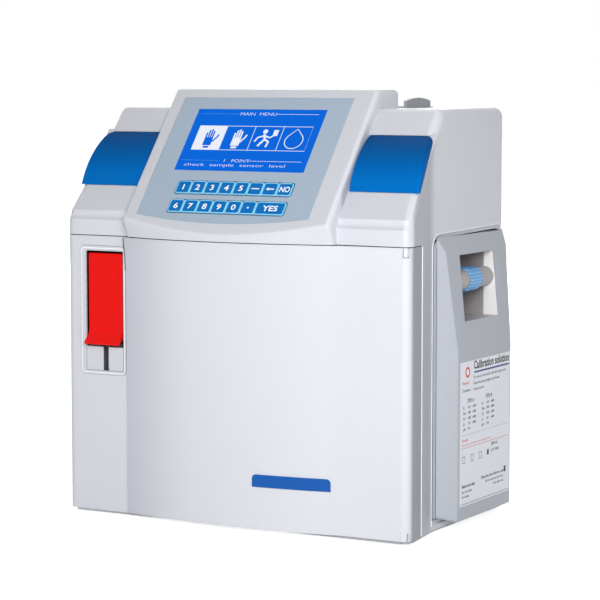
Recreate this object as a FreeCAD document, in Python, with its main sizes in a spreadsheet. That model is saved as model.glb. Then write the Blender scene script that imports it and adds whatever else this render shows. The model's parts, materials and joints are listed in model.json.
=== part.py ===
import FreeCAD, Part
import math
import os
import Sketcher

# Bench-top electrolyte analyzer, in millimetres.
# While a piece is drawn, X runs to the right of someone facing the front, Y runs to the rear from the
# plane of the front corners and Z runs up from the lower edge of the housing. Each finished piece
# is then moved by one shared offset, so that the origin is under the middle of the whole thing, on the bench.

Vector = FreeCAD.Vector
doc = FreeCAD.newDocument("ElectrolyteAnalyzer")
sheet = doc.addObject("Spreadsheet::Sheet", "Sizes")
sheetRow = {"next": 1}
nodes = []


class Term:
    """A number together with the sheet expression that gives it."""

    def __init__(self, number, text):
        self.number = number
        self.text = text

    def __add__(self, other):
        other = term(other)
        return Term(self.number + other.number, "(%s + %s)" % (self.text, other.text))

    def __sub__(self, other):
        other = term(other)
        return Term(self.number - other.number, "(%s - %s)" % (self.text, other.text))

    def __mul__(self, other):
        other = term(other)
        return Term(self.number * other.number, "(%s * %s)" % (self.text, other.text))

    def __truediv__(self, other):
        other = term(other)
        return Term(self.number / other.number, "(%s / %s)" % (self.text, other.text))

    def __neg__(self):
        return Term(-self.number, "(0 - %s)" % self.text)

    def __radd__(self, other):
        return term(other) + self

    def __rsub__(self, other):
        return term(other) - self

    def __rmul__(self, other):
        return term(other) * self


def term(value):
    if isinstance(value, Term):
        return value
    return Term(float(value), "(%.6f)" % float(value))


def root(value):
    return Term(math.sqrt(value.number), "sqrt(%s)" % value.text)


def size(alias, number, note):
    """Write one driving dimension into the sheet and return it as a term."""
    row = sheetRow["next"]
    sheetRow["next"] = row + 1
    sheet.set("A%d" % row, note)
    sheet.set("B%d" % row, str(number))
    sheet.setAlias("B%d" % row, alias)
    return Term(float(number), "Sizes." + alias)


def bind(piece, prop, value):
    piece.setExpression(prop, term(value).text)


def segments(outline):
    """Yield the edges of a closed outline, whose points are (u, v) or (u, v, radius of the arc that follows)."""
    count = len(outline)
    for index in range(count):
        here = outline[index]
        there = outline[(index + 1) % count]
        radius = here[2] if len(here) > 2 else None
        yield here, there, radius


def sketch(name, outline, holder=None):
    """Draw a closed outline whose corners and radii are bound to the sheet.
    A positive radius turns left along the way, a negative one turns right."""
    if holder is None:
        drawing = doc.addObject("Sketcher::SketchObject", name)
    else:
        drawing = holder.newObject("Sketcher::SketchObject", name)
    ends = []
    for here, there, radius in segments(outline):
        a = Vector(term(here[0]).number, term(here[1]).number, 0)
        b = Vector(term(there[0]).number, term(there[1]).number, 0)
        if radius is None:
            edge = drawing.addGeometry(Part.LineSegment(a, b), False)
            ends.append((edge, 1, 2))
            continue
        reach = term(radius).number
        half = (b - a) * 0.5
        rise = math.sqrt(max(reach * reach - half.Length ** 2, 0.0))
        left = Vector(-half.y, half.x, 0).normalize()
        centre = a + half + left * (rise if reach > 0 else -rise)
        first, last = (a, b) if reach > 0 else (b, a)
        start = math.atan2(first.y - centre.y, first.x - centre.x)
        stop = math.atan2(last.y - centre.y, last.x - centre.x)
        arc = Part.ArcOfCircle(Part.Circle(centre, Vector(0, 0, 1), abs(reach)), start, stop)
        edge = drawing.addGeometry(arc, False)
        ends.append((edge, 1, 2) if reach > 0 else (edge, 2, 1))
    for index, (edge, begin, finish) in enumerate(ends):
        following, after, _ = ends[(index + 1) % len(ends)]
        drawing.addConstraint(Sketcher.Constraint("Coincident", edge, finish, following, after))
    for index, (here, there, radius) in enumerate(segments(outline)):
        edge, begin, finish = ends[index]
        for kind, value in (("DistanceX", term(here[0])), ("DistanceY", term(here[1]))):
            at = drawing.addConstraint(Sketcher.Constraint(kind, -1, 1, edge, begin, value.number))
            drawing.setExpression("Constraints[%d]" % at, value.text)
        if radius is not None:
            value = term(radius) if term(radius).number > 0 else -term(radius)
            at = drawing.addConstraint(Sketcher.Constraint("Radius", edge, value.number))
            drawing.setExpression("Constraints[%d]" % at, value.text)
    return drawing


PLANES = {
    "XY": (FreeCAD.Rotation(), "z", Vector(0, 0, 1)),
    "XZ": (FreeCAD.Rotation(Vector(1, 0, 0), 90), "y", Vector(0, 1, 0)),
    "YZ": (FreeCAD.Rotation(Vector(1, 1, 1), 120), "x", Vector(1, 0, 0)),
}


def prism(name, plane, outline, low, high):
    """Extrude an outline in a plane from low to high along the plane's own axis."""
    turn, axis, along = PLANES[plane]
    drawing = sketch(name + "Outline", outline)
    drawing.Placement = FreeCAD.Placement(Vector(), turn)
    bind(drawing, "Placement.Base." + axis, low)
    solid = doc.addObject("Part::Extrusion", name)
    solid.Base = drawing
    solid.DirMode = "Custom"
    solid.Dir = along
    solid.Solid = True
    bind(solid, "LengthFwd", term(high) - term(low))
    return solid


def section(name, outline, height):
    """A closed outline lying level at a height, for a loft."""
    drawing = sketch(name, outline)
    bind(drawing, "Placement.Base.z", height)
    return drawing


def loft(name, sections):
    solid = doc.addObject("Part::Loft", name)
    solid.Sections = sections
    solid.Solid = True
    solid.Ruled = True
    return solid


def box(name, xLow, xHigh, yLow, yHigh, zLow, zHigh):
    solid = doc.addObject("Part::Box", name)
    bind(solid, "Length", term(xHigh) - term(xLow))
    bind(solid, "Width", term(yHigh) - term(yLow))
    bind(solid, "Height", term(zHigh) - term(zLow))
    bind(solid, "Placement.Base.x", xLow)
    bind(solid, "Placement.Base.y", yLow)
    bind(solid, "Placement.Base.z", zLow)
    return solid


AXES = {
    "X": FreeCAD.Rotation(Vector(0, 1, 0), 90),
    "Y": FreeCAD.Rotation(Vector(1, 0, 0), -90),
    "Z": FreeCAD.Rotation(),
}


def rod(name, axis, x, y, z, radius, length):
    """A cylinder that starts at a point and runs along +X, +Y or +Z."""
    solid = doc.addObject("Part::Cylinder", name)
    bind(solid, "Radius", radius)
    bind(solid, "Height", length)
    solid.Placement = FreeCAD.Placement(Vector(), AXES[axis])
    bind(solid, "Placement.Base.x", x)
    bind(solid, "Placement.Base.y", y)
    bind(solid, "Placement.Base.z", z)
    return solid


def join(name, pieces):
    solid = doc.addObject("Part::MultiFuse", name)
    solid.Shapes = pieces
    solid.Refine = True
    return solid


def cut(name, base, tools):
    solid = doc.addObject("Part::Cut", name)
    solid.Base = base
    solid.Tool = tools[0] if len(tools) == 1 else join(name + "Tools", tools)
    solid.Refine = True
    return solid


def overlap(name, pieces):
    solid = doc.addObject("Part::MultiCommon", name)
    solid.Shapes = pieces
    solid.Refine = True
    return solid


def group(name, pieces):
    solid = doc.addObject("Part::Compound", name)
    solid.Links = pieces
    return solid


def rounded(name, base, radius, wanted):
    """Fillet the edges of a solid whose middle point and direction the test wants."""
    doc.recompute()
    chosen = []
    for index, edge in enumerate(base.Shape.Edges, 1):
        middle = edge.valueAt((edge.FirstParameter + edge.LastParameter) / 2)
        first = edge.valueAt(edge.FirstParameter)
        last = edge.valueAt(edge.LastParameter)
        if wanted(middle, last - first):
            chosen.append((index, term(radius).number, term(radius).number))
    solid = doc.addObject("Part::Fillet", name)
    solid.Base = base
    solid.Edges = chosen
    return solid


def near(a, b, within=0.05):
    return abs(a - term(b).number) < within


def node(name, piece):
    """Name a finished piece and move it by the shared offset."""
    if piece.TypeId in ("Part::Box", "Part::Cylinder"):
        piece = group(name + "Piece", [piece])
    piece.Label = name
    bind(piece, "Placement.Base.x", offsetX)
    bind(piece, "Placement.Base.y", offsetY)
    bind(piece, "Placement.Base.z", offsetZ)
    nodes.append(piece)
    return piece


def onFace(piece):
    """Turn a piece drawn flat so that its XY plane lies in the sloping face of the console."""
    piece.Placement = FreeCAD.Placement(Vector(), FreeCAD.Rotation(Vector(1, 0, 0), faceAngle))
    bind(piece, "Placement.Base.y", faceY)
    bind(piece, "Placement.Base.z", faceZ)
    return piece


def faceNode(name, piece):
    piece.Label = name
    piece.Placement = FreeCAD.Placement(Vector(), FreeCAD.Rotation(Vector(1, 0, 0), faceAngle))
    bind(piece, "Placement.Base.x", offsetX)
    bind(piece, "Placement.Base.y", offsetY + faceY)
    bind(piece, "Placement.Base.z", offsetZ + faceZ)
    nodes.append(piece)
    return piece


def newBody(name, plane, pads):
    """Start a design body that holds one sketch on one of its own origin planes."""
    body = doc.addObject("PartDesign::Body", name)
    drawing = sketch(name + "Sketch", pads, body)
    for feature in body.Origin.OriginFeatures:
        if feature.Role == plane + "_Plane":
            drawing.AttachmentSupport = [(feature, "")]
    drawing.MapMode = "FlatFace"
    return body, drawing


def turned(name, outline):
    """A body of revolution about its own Z axis, from an outline in radius and height."""
    body, drawing = newBody(name, "XZ", outline)
    doc.recompute()
    spin = body.newObject("PartDesign::Revolution", name + "Turn")
    spin.Profile = drawing
    spin.ReferenceAxis = (drawing, ["V_Axis"])
    spin.Angle = 360
    body.Tip = spin
    return body


def bodyNode(name, body, axis, x, y, z):
    """Place a turned body with its axis along +X, +Y or +Z at a point of the drawing frame."""
    body.Label = name
    body.Placement = FreeCAD.Placement(Vector(), AXES[axis])
    bind(body, "Placement.Base.x", offsetX + x)
    bind(body, "Placement.Base.y", offsetY + y)
    bind(body, "Placement.Base.z", offsetZ + z)
    nodes.append(body)
    return body


def ring(inner, outer, low, high):
    return [(inner, low), (outer, low), (outer, high), (inner, high)]


def rectangle(left, right, low, high):
    return [(left, low), (right, low), (right, high), (left, high)]


def roundedRectangle(left, right, low, high, radius):
    """An upright rectangle with round corners, drawn to the left."""
    left, right, low, high, radius = [term(value) for value in (left, right, low, high, radius)]
    return [
        (left + radius, low),
        (right - radius, low, radius),
        (right, low + radius),
        (right, high - radius, radius),
        (right - radius, high),
        (left + radius, high, radius),
        (left, high - radius),
        (left, low + radius, radius),
    ]


# Driving dimensions of the housing
halfWidth = size("halfWidth", 185.3, "half width across the front corners before they are rounded")
cornerRound = size("cornerRound", 9, "rounding of the corners")
flareDepth = size("flareDepth", 66, "depth over which the sides draw in")
sideInset = size("sideInset", 9.8, "how far the sides draw in")
bodyDepth = size("bodyDepth", 217, "depth from the front corners to the rear edge")
flareBend = size("flareBend", 90, "radius of the bend where the sides become parallel")
wall = size("wall", 3, "moulded wall thickness")
seamHeight = size("seamHeight", 264, "height of the seam under the upper housing")
seamGap = size("seamGap", 0.4, "half of the gap along a seam")
shoulderRise = size("shoulderRise", 20, "height over the seam where the shoulders start to lean back")
deckRise = size("deckRise", 100.5, "height of the upper deck over the foot of the shoulders")
shoulderFoot = seamHeight + shoulderRise
deckHeight = shoulderFoot + deckRise
faceSlope = size("faceSlope", 0.81, "run of a sloping face per unit of rise")
footRound = size("footRound", 14, "rounding at the foot of the shoulders")
deckRound = size("deckRound", 10, "rounding at the front of the deck")
hoodFront = size("hoodFront", 31, "where the side walls of the upper housing start")
rearFrame = size("rearFrame", 12, "width of the frame round the rear panel")

# Console
consoleHalf = size("consoleHalf", 110.5, "half width of the console")
consoleRise = size("consoleRise", 17.5, "height of the console over the deck")
consoleBack = size("consoleBack", 119.5, "depth of the back of the console")
chinRise = size("chinRise", 17, "height of the most forward line of the chin over the seam")
chinSide = size("chinSide", 14.5, "how far the chin stands forward at its sides")
chinMiddle = size("chinMiddle", 27, "how far the chin stands forward at its middle")
seamSide = size("seamSide", 6.5, "how far the seam stands forward at the sides of the console")
seamMiddle = size("seamMiddle", 24, "how far the seam stands forward at the middle")
frontMost = size("frontMost", 24.76, "how far the rounded chin reaches in front of the corners")
chinReach = size("chinReach", 56, "height over the seam to which the slant of the chin is drawn on")
faceY = size("faceOriginDepth", 3.7, "depth of the reference point of the console face")
faceRise = size("faceOriginRise", 42.2, "height of that point over the seam")
consoleRound = size("consoleRound", 5, "rounding of the console edges")
consoleTop = deckHeight + consoleRise
chinHeight = seamHeight + chinRise
chinTop = seamHeight + chinReach
faceZ = seamHeight + faceRise

# Keypad overlay, display and keys, in the plane of the console face
overlayHalf = size("overlayHalf", 92, "half width of the keypad overlay")
overlayShift = size("overlayShift", -4, "sideways place of the keypad overlay")
overlayTop = size("overlayTop", 113, "top of the overlay up the face")
overlaySide = size("overlaySide", -25, "bottom of the overlay at its sides")
overlayBow = size("overlayBow", 8, "how far the lower edge of the overlay bows down")
overlayRecess = size("overlayRecess", 2, "depth of the recess for the overlay")
overlayThick = size("overlayThick", 1.5, "thickness of the overlay")
displayShift = size("displayShift", -5.2, "sideways place of the display")
displayHalf = size("displayHalf", 69.7, "half width of the display window")
faceWall = size("faceWall", 2.5, "wall left under the recess for the overlay")
displayLow = size("displayLow", 27, "lower edge of the display window")
displayHigh = size("displayHigh", 99.5, "upper edge of the display window")
keyShift = size("keyShift", -1.8, "sideways place of the keys")
keyPitch = size("keyPitch", 15.5, "sideways spacing of the keys")
keyHeight = size("keyHeight", 14, "height of a key")
keyGap = size("keyGap", 0.7, "gap between neighbouring keys")
upperRow = size("upperRow", 7.2, "middle of the upper row of keys")
lowerRow = size("lowerRow", -14.3, "middle of the lower row of keys")
keyTravel = size("keyTravel", 0.5, "travel of a key")
keyClear = size("keyClear", 0.3, "clearance round a row of keys")
keyStand = size("keyStand", 0.7, "how far a key stands above the overlay")
keyRound = size("keyRound", 2.2, "rounding of the corners of a key")

# Door, left column and hinge
doorHalf = size("doorHalf", 114.6, "half width of the bowed part of the door")
doorEdge = size("doorEdge", 1.5, "how far the door stands forward at the ends of its bow")
doorBow = size("doorBow", 14, "how far the lower door stands forward at its middle")
panLip = size("panLip", 12, "depth of the rim of the door")
returnEnd = size("returnEnd", 29.4, "where the side returns of the door and the left column end")
doorLow = size("doorLow", 1, "lower edge of the door")
columnGap = size("columnGap", 1, "gap between the door and the left column")
hingeInset = size("hingeInset", 7.8, "how far the door hinge lies inside the front corner")
hingeY = size("hingeY", 6.5, "depth of the door hinge")
knuckleRadius = size("knuckleRadius", 4, "radius of a hinge knuckle")
knuckleTall = size("knuckleTall", 8, "height of a hinge knuckle")
pinRadius = size("pinRadius", 2, "radius of a hinge pin")
pinClear = size("pinClear", 0.05, "radial clearance of a pin")
pinInset = size("pinInset", 19, "how far the upper hinge pin reaches below the seam")
pinLength = size("pinLength", 23, "length of the upper hinge pin")
notchInset = size("notchInset", 3, "how far outside the hinge the notch in the corner of the door starts")
notchDepth = size("notchDepth", 4, "depth to which the notch in the corner of the door reaches")
hingeX = halfWidth - hingeInset

# Base and feet
soleLow = size("soleLow", -1.5, "underside of the base plate")
soleHigh = size("soleHigh", 0.5, "upper side of the base plate")
footHeight = size("footHeight", 1.5, "how far the feet stand below the base plate")
footRadius = size("footRadius", 9, "radius of a foot")
footAcross = size("footAcross", 150, "sideways place of a foot")
footFront = size("footFront", 24, "depth of the front feet")
footRear = size("footRear", 25, "distance of the rear feet from the rear edge")

# Reagent pack and its bay
packFront = size("packFront", 65, "front edge of the opening for the reagent pack")
packMargin = size("packMargin", 9, "distance of the opening for the reagent pack from the rear edge")
packLow = size("packLow", 10, "lower edge of the opening for the reagent pack")
packAbove = size("packAbove", 2.5, "upper edge of the opening at the front, over the seam")
packRise = size("packRise", 2.5, "how far the upper edge rises to the rear")
packClear = size("packClear", 0.6, "clearance round the reagent pack")
packDepth = size("packDepth", 82, "how deep the reagent pack reaches into the housing")
coverStand = size("coverStand", 17.4, "how far the lower cover stands out of the side")
coverTopStand = size("coverTopStand", 8.5, "how far the upper edge of the cover stands out")
coverElbow = size("coverElbow", 163, "height where the cover starts to lean in")
coverBelow = size("coverBelow", 8.5, "upper edge of the cover face, below the seam")
coverLowZ = size("coverLowZ", 4.8, "lower edge of the cover face")
coverFrontSlant = size("coverFrontSlant", 15.5, "how far the front side of the cover slants back")
coverRearSlant = size("coverRearSlant", 11, "how far the rear side of the cover slants forward")
partingStand = size("partingStand", 2.5, "how far the parting line of the pack stands out of the side")
grooveDeep = size("grooveDeep", 1.2, "depth of the shallow step round the opening")
packRear = bodyDepth - packMargin
coverTopZ = seamHeight - coverBelow
packHigh = seamHeight + packAbove

# Sampler in the left column
bezelLeft = size("bezelLeft", -167.8, "left edge of the sampler bezel")
bezelRight = size("bezelRight", -116.2, "right edge of the sampler bezel")
bezelLow = size("bezelLow", 131.6, "lower edge of the sampler bezel")
bezelRound = size("bezelRound", 5, "rounding of the sampler bezel")
bezelHigh = seamHeight - size("bezelBelow", 9.8, "upper edge of the sampler bezel, below the seam")
bezelProud = size("bezelProud", 0.8, "how far the bezel stands in front of the column")
tubLeft = size("tubLeft", -160.4, "left inner wall of the sampler recess")
tubRight = size("tubRight", -118.7, "right inner wall of the sampler recess")
tubLow = size("tubLow", 135.5, "lower inner wall of the sampler recess")
tubHigh = seamHeight - size("tubBelow", 14.7, "upper inner wall of the sampler recess, below the seam")
tubWall = size("tubWall", 1, "wall of the sampler recess")
ledgeHigh = size("ledgeHigh", 158, "top of the ledge under the lever")
leverLeft = size("leverLeft", -158.4, "left edge of the lever")
leverRight = size("leverRight", -120.3, "right edge of the lever")
leverHigh = tubHigh - size("leverBelow", 2.1, "upper edge of the lever, below the wall over it")
leverPivotY = size("leverPivotY", 5.5, "depth of the lever pivot")
leverPivotZ = leverHigh - size("leverPivotDrop", 6.2, "height of the lever pivot under its upper edge")
leverPin = size("leverPin", 1.5, "radius of the lever pin")
needleX = size("needleX", -139.2, "sideways place of the sample needle")
needleY = size("needleY", 5.6, "depth of the sample needle")
needleRadius = size("needleRadius", 0.8, "radius of the sample needle")

# Chassis and what it carries
chassisY = size("chassisY", 34, "front of the chassis plate")
chassisThick = size("chassisThick", 1.5, "thickness of the chassis plate")
pumpX = size("pumpX", 62, "sideways place of the pump")
pumpZ = size("pumpZ", 78, "height of the pump")
rotorRadius = size("rotorRadius", 15, "radius on which the pump rollers run")
rollerRadius = size("rollerRadius", 5, "radius of a pump roller")
electrodeX = size("electrodeX", -74, "sideways place of the first electrode")
electrodeStep = size("electrodeStep", 23, "spacing of the electrodes")
electrodeZ = size("electrodeZ", 170, "height of the electrodes")
electrodeRadius = size("electrodeRadius", 9, "radius of an electrode")

# Printer roll
rollX = size("rollX", 77, "sideways place of the middle of the paper roll")
rollY = size("rollY", 150, "depth of the paper roll")
rollDrop = size("rollDrop", 21, "how far the axis of the paper roll lies below the deck")
rollRadius = size("rollRadius", 19, "radius of the paper roll")
rollHalf = size("rollHalf", 28.5, "half width of the paper roll")
earInner = size("earInner", 36.5, "distance of the ears from the middle of the roll")
earThick = size("earThick", 3, "thickness of an ear")
earHalf = size("earHalf", 25, "half depth of an ear")
earRise = size("earRise", 9.5, "how far the ears of the roll holder stand over the deck")
axleRadius = size("axleRadius", 3, "radius of the paper axle")
rollZ = deckHeight - rollDrop
earHigh = deckHeight + earRise

bodyHalf = halfWidth - sideInset
packOuter = bodyHalf + coverStand
flareLength = root(sideInset * sideInset + flareDepth * flareDepth)
flareSin = sideInset / flareLength
flareCos = flareDepth / flareLength
widest = halfWidth - cornerRound * ((1 + flareSin) / flareCos - 1)
offsetX = (widest - packOuter) / 2
offsetY = (frontMost - bodyDepth) / 2
offsetZ = footHeight - soleLow
leanFactor = root(1 + faceSlope * faceSlope)
faceAngle = 90 - math.degrees(math.atan(faceSlope.number))


def arcRadius(half, sagitta):
    """Radius of the arc over a chord of twice the half width."""
    return (half * half + sagitta * sagitta) / (2 * sagitta)


def shoulderY(height):
    return faceSlope * (term(height) - shoulderFoot)


def consoleY(height):
    return faceY + faceSlope * (term(height) - faceZ)


def planX(depth, inset=0):
    """Half width of the housing at a depth in front of the bend, drawn in by an inset."""
    return halfWidth - term(depth) * sideInset / flareDepth - term(inset) / flareCos


def sidePoints(inset):
    """The bend in the right side, from front to rear, with the arc between its two points."""
    middle = flareDepth - term(inset) * (flareLength - flareDepth) / sideInset
    reach = flareBend * (flareLength - flareDepth) / sideInset
    return [
        (bodyHalf - inset + reach * flareSin, middle - reach * flareCos, -flareBend),
        (bodyHalf - inset, middle + reach),
    ]


def mirrored(points):
    """The same run of points on the other side, in the order that keeps the outline turning left."""
    flipped = []
    for index in range(len(points) - 1, -1, -1):
        point = (-term(points[index][0]), points[index][1])
        if index > 0 and len(points[index - 1]) > 2:
            point = point + (points[index - 1][2],)
        flipped.append(point)
    return flipped


def cornerPoints(inset):
    """The rounded front corner on the right, drawn in by an inset."""
    inset = term(inset)
    bend = cornerRound - inset
    reach = bend * (1 + flareSin) / flareCos
    tip = planX(inset, inset)
    return [(tip - reach, inset, bend), (tip - reach * flareSin, inset + reach * flareCos)]


# Upper housing
def housingBlock(name, inset, low):
    """Plan and side outlines of the upper housing, drawn in by an inset and rounded."""
    flat = term(inset)
    right = [(planX(flat, flat), flat)] + sidePoints(flat) + [(bodyHalf - flat, bodyDepth - flat)]
    plan = right + mirrored(right)
    back = flat * leanFactor
    foot = shoulderFoot - (back - flat) / faceSlope
    footReach = (footRound - flat) * (leanFactor - 1) / faceSlope
    deck = deckHeight - flat
    deckY = shoulderY(deck) + back
    deckReach = (deckRound - flat) * (leanFactor - faceSlope)
    side = [
        (hoodFront, low),
        (bodyDepth - flat, low),
        (bodyDepth - flat, deck),
        (deckY + deckReach, deck, deckRound - flat),
        (deckY - deckReach * faceSlope / leanFactor, deck - deckReach / leanFactor),
        (flat + footReach * faceSlope / leanFactor, foot + footReach / leanFactor, flat - footRound),
        (flat, foot - footReach),
        (flat, seamHeight + seamGap),
        (hoodFront, seamHeight + seamGap),
    ]
    if flat.number > 0:
        side = [(flat, low)] + side[1:7]
    planPrism = prism(name + "Plan", "XY", plan, low, deckHeight + 1)
    sidePrism = prism(name + "Side", "YZ", side, -halfWidth - 1, halfWidth + 1)
    block = overlap(name + "Block", [planPrism, sidePrism])

    def wanted(middle, run):
        outside = abs(middle.x) > bodyHalf.number - flat.number - 0.1
        rear = near(middle.y, bodyDepth - flat)
        across = abs(run.x) > 20
        if rear:
            return (across and near(middle.z, deck)) or (outside and not across and abs(run.z) > 50)
        onTop = near(middle.z, deck) and not across and outside
        slope = middle.z > shoulderFoot.number - 30 and outside and middle.y < 85 and not near(middle.z, low)
        front = outside and near(middle.y, flat) and abs(run.z) > 1
        return onTop or front or (slope and not near(middle.z, seamHeight + seamGap) and abs(run.x) < 15)

    return rounded(name + "Round", block, cornerRound - flat, wanted)


def consoleBlock(name, inset, faceInset, low):
    """The console: a sloping face over a bowed chin."""
    flat = term(inset)
    back = term(faceInset) * leanFactor
    half = consoleHalf - flat
    top = consoleTop - flat
    side = [
        (consoleY(low) + back, low),
        (consoleBack - flat, low),
        (consoleBack - flat, top),
        (consoleY(top) + back, top),
    ]
    sidePrism = prism(name + "Side", "YZ", side, -half, half)
    rise = (chinTop - seamHeight) / (chinHeight - seamHeight)
    sections = []
    for index, (height, edge, middle) in enumerate([
        (seamHeight, seamSide, seamMiddle),
        (chinTop, seamSide + (chinSide - seamSide) * rise, seamMiddle + (chinMiddle - seamMiddle) * rise),
    ]):
        reach = consoleHalf + 1
        outline = [
            (-reach, flat - edge, arcRadius(reach, middle - edge)),
            (reach, flat - edge),
            (reach, -80),
            (-reach, -80),
        ]
        sections.append(section(name + "Chin%d" % index, outline, height))
    chin = loft(name + "Chin", sections)
    return cut(name + "Block", sidePrism, [chin])


hoodLow = seamHeight + seamGap
consoleOuter = consoleBlock("ConsoleOuter", 0, 0, hoodLow)


def consoleEdge(middle, run):
    if near(middle.z, hoodLow):
        return False
    return not (near(middle.y, consoleBack) and abs(run.z) > 20)


consoleSoft = rounded("ConsoleSoft", consoleOuter, consoleRound, consoleEdge)
consoleInner = consoleBlock("ConsoleInner", wall, overlayRecess + faceWall, seamHeight - 1)
housingOuter = housingBlock("HousingOuter", 0, soleHigh)
housingInner = housingBlock("HousingInner", wall, soleHigh - 5)


def bayOutline(out):
    """The opening for the reagent pack, drawn out by an amount."""
    out = term(out)
    front = packFront - out
    rear = packRear + out
    low = packLow - out
    high = packHigh + out
    turn = 9 + out
    return [
        (front, low),
        (rear, low),
        (rear, high + packRise - turn, turn),
        (rear - turn, high + packRise),
        (front + turn, high, turn),
        (front, high - turn),
    ]


displayHole = onFace(prism(
    "DisplayHole", "XY",
    rectangle(displayShift - displayHalf + 2, displayShift + displayHalf - 2, displayLow + 2, displayHigh - 2),
    -10, 0,
))
keysLeft = keyShift - keyPitch * 4


def overlayOutline(loose):
    """The keypad overlay: straight sides and top, and a lower edge that bows down."""
    half = overlayHalf - loose
    low = overlaySide + term(loose)
    high = overlayTop - term(loose)
    return [
        (overlayShift - half, low, arcRadius(half, overlayBow)),
        (overlayShift + half, low),
        (overlayShift + half, high),
        (overlayShift - half, high),
    ]


overlayPocket = onFace(prism("OverlayPocket", "XY", overlayOutline(-0.2), -overlayRecess, 20))
bayHole = prism("BayHole", "YZ", bayOutline(0), 120, halfWidth + 5)
bayStep = prism("BayStep", "YZ", bayOutline(5), bodyHalf - grooveDeep, halfWidth + 5)
rearLow = soleHigh - 2
rearHigh = deckHeight - 25
rearHole = box(
    "RearHole", rearFrame - bodyHalf, bodyHalf - rearFrame, bodyDepth - 10, bodyDepth + 5, rearLow, rearHigh
)
wellLeft = rollX - earInner - earThick
wellRight = rollX + earInner + earThick
wellFront = rollY - earHalf
wellRear = rollY + earHalf
wellHole = box(
    "WellHole", wellLeft - 0.2, wellRight + 0.2, wellFront - 0.2, wellRear + 0.2, deckHeight - 10, deckHeight + 5
)


def inlayOutline(out, bulge):
    """Section of a blue inlay: flat at the bottom of its recess and bowed outside."""
    low = inlayLow - out
    high = inlayHigh + out
    sunk = 2 * leanFactor
    points = [(shoulderY(low) + sunk, low), (shoulderY(low), low)]
    if bulge:
        points = [(shoulderY(low) + sunk, low), (shoulderY(low) - 0.6, low, -term(inlayArc))]
    points.append((shoulderY(high) - (0.6 if bulge else 8), high))
    points.append((shoulderY(high) + sunk, high))
    if not bulge:
        points[1] = (shoulderY(low) - 8, low)
    return points


inlayArc = size("inlayArc", 84, "radius of the bowed face of an inlay")
inlayGap = size("inlayGap", 0.3, "gap round an inlay")
inlayInner = size("inlayInner", 111.6, "inner edge of an inlay")
inlayStart = size("inlayStart", 27, "lower edge of an inlay over the foot of the shoulder")
inlayTall = size("inlayTall", 49.7, "height of an inlay")
inlayCorner = size("inlayCorner", 9, "rounding of the upper outer corner of an inlay")
inlayLow = shoulderFoot + inlayStart
inlayHigh = inlayLow + inlayTall
rightRecess = prism("RightRecess", "YZ", inlayOutline(inlayGap, False), inlayInner - inlayGap, halfWidth + 5)
leftRecess = prism("LeftRecess", "YZ", inlayOutline(inlayGap, False), -halfWidth - 5, inlayGap - inlayInner)

knuckleHigh = seamHeight + 12
upperKnuckle = rod(
    "UpperKnuckle", "Z", hingeX, hingeY, seamHeight - knuckleTall, knuckleRadius, knuckleHigh - seamHeight + knuckleTall
)
upperBore = rod("UpperBore", "Z", hingeX, hingeY, seamHeight - knuckleTall - 1, pinRadius, 15)
shellOuter = join("ShellOuter", [housingOuter, consoleSoft])
shellInner = join("ShellInner", [housingInner, consoleInner])
shell = cut("Shell", shellOuter, [shellInner])
pierced = cut(
    "PiercedShell", shell,
    [displayHole, overlayPocket, bayHole, bayStep, rearHole, wellHole, rightRecess, leftRecess],
)
recessBack = []
backLow = inlayLow - 2
backHigh = inlayHigh + 2.3
for side in (1, -1):
    inner = inlayInner - 1.5
    low, high = (inner, planX(40, 1)) if side > 0 else (-planX(40, 1), -inner)
    back = [
        (shoulderY(backLow) + 2 * leanFactor, backLow),
        (shoulderY(backHigh) + 2 * leanFactor, backHigh),
        (shoulderY(backHigh) + 5 * leanFactor, backHigh),
        (shoulderY(backLow) + 5 * leanFactor, backLow),
    ]
    recessBack.append(prism("RecessBack%s" % ("Right" if side > 0 else "Left"), "YZ", back, low, high))
hoodSolid = cut("HoodSolid", join("HoodJoined", [pierced, upperKnuckle] + recessBack), [upperBore])
node("top_cover", hoodSolid)


# Left column
leftEdge = -doorHalf - columnGap
panelHigh = seamHeight - seamGap
cornerOut = cornerPoints(0)
cornerIn = cornerPoints(wall)
leftOut = mirrored(cornerOut)
leftIn = mirrored(cornerIn)
lip = 1.4
leftPlan = [
    (-planX(returnEnd), returnEnd),
    leftOut[0],
    leftOut[1],
    (leftEdge, 0),
    (leftEdge, panLip),
    (leftEdge - lip, panLip),
    (leftEdge - lip, wall),
    (leftIn[1][0], wall, -(cornerRound - wall)),
    (leftIn[0][0], leftIn[0][1]),
    (-planX(returnEnd, wall), returnEnd),
]
column = prism("Column", "XY", leftPlan, soleHigh, panelHigh)
columnHole = box(
    "ColumnHole", tubLeft - tubWall - 0.2, tubRight + tubWall + 0.1, -1, wall + 1,
    tubLow - tubWall - 0.2, tubHigh + tubWall + 0.2,
)
node("left_panel", cut("ColumnSolid", column, [columnHole]))

# Sampler
flange = prism(
    "BezelFlange", "XZ", roundedRectangle(bezelLeft, bezelRight, bezelLow, bezelHigh, bezelRound), -bezelProud, 0
)
tub = box("BezelTub", tubLeft - tubWall, tubRight + tubWall, -bezelProud, 26, tubLow - tubWall, tubHigh + tubWall)
tubSpace = prism("TubSpace", "XZ", roundedRectangle(tubLeft, tubRight, tubLow, tubHigh, 1.5), -5, 25)
needleGroove = 3
ledge = box("Ledge", tubLeft, tubRight, 0.6, 12, tubLow, ledgeHigh)
grooveSpace = box(
    "GrooveSpace", needleX - needleGroove, needleX + needleGroove, -5, needleY + 4, tubLow, ledgeHigh + 1
)
leverBores = rod("LeverBores", "X", tubLeft - 5, leverPivotY, leverPivotZ, leverPin, 60)
ledgeSolid = cut("LedgeSolid", ledge, [grooveSpace])
tubSolid = cut("TubSolid", join("BezelJoined", [flange, tub]), [tubSpace])
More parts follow.
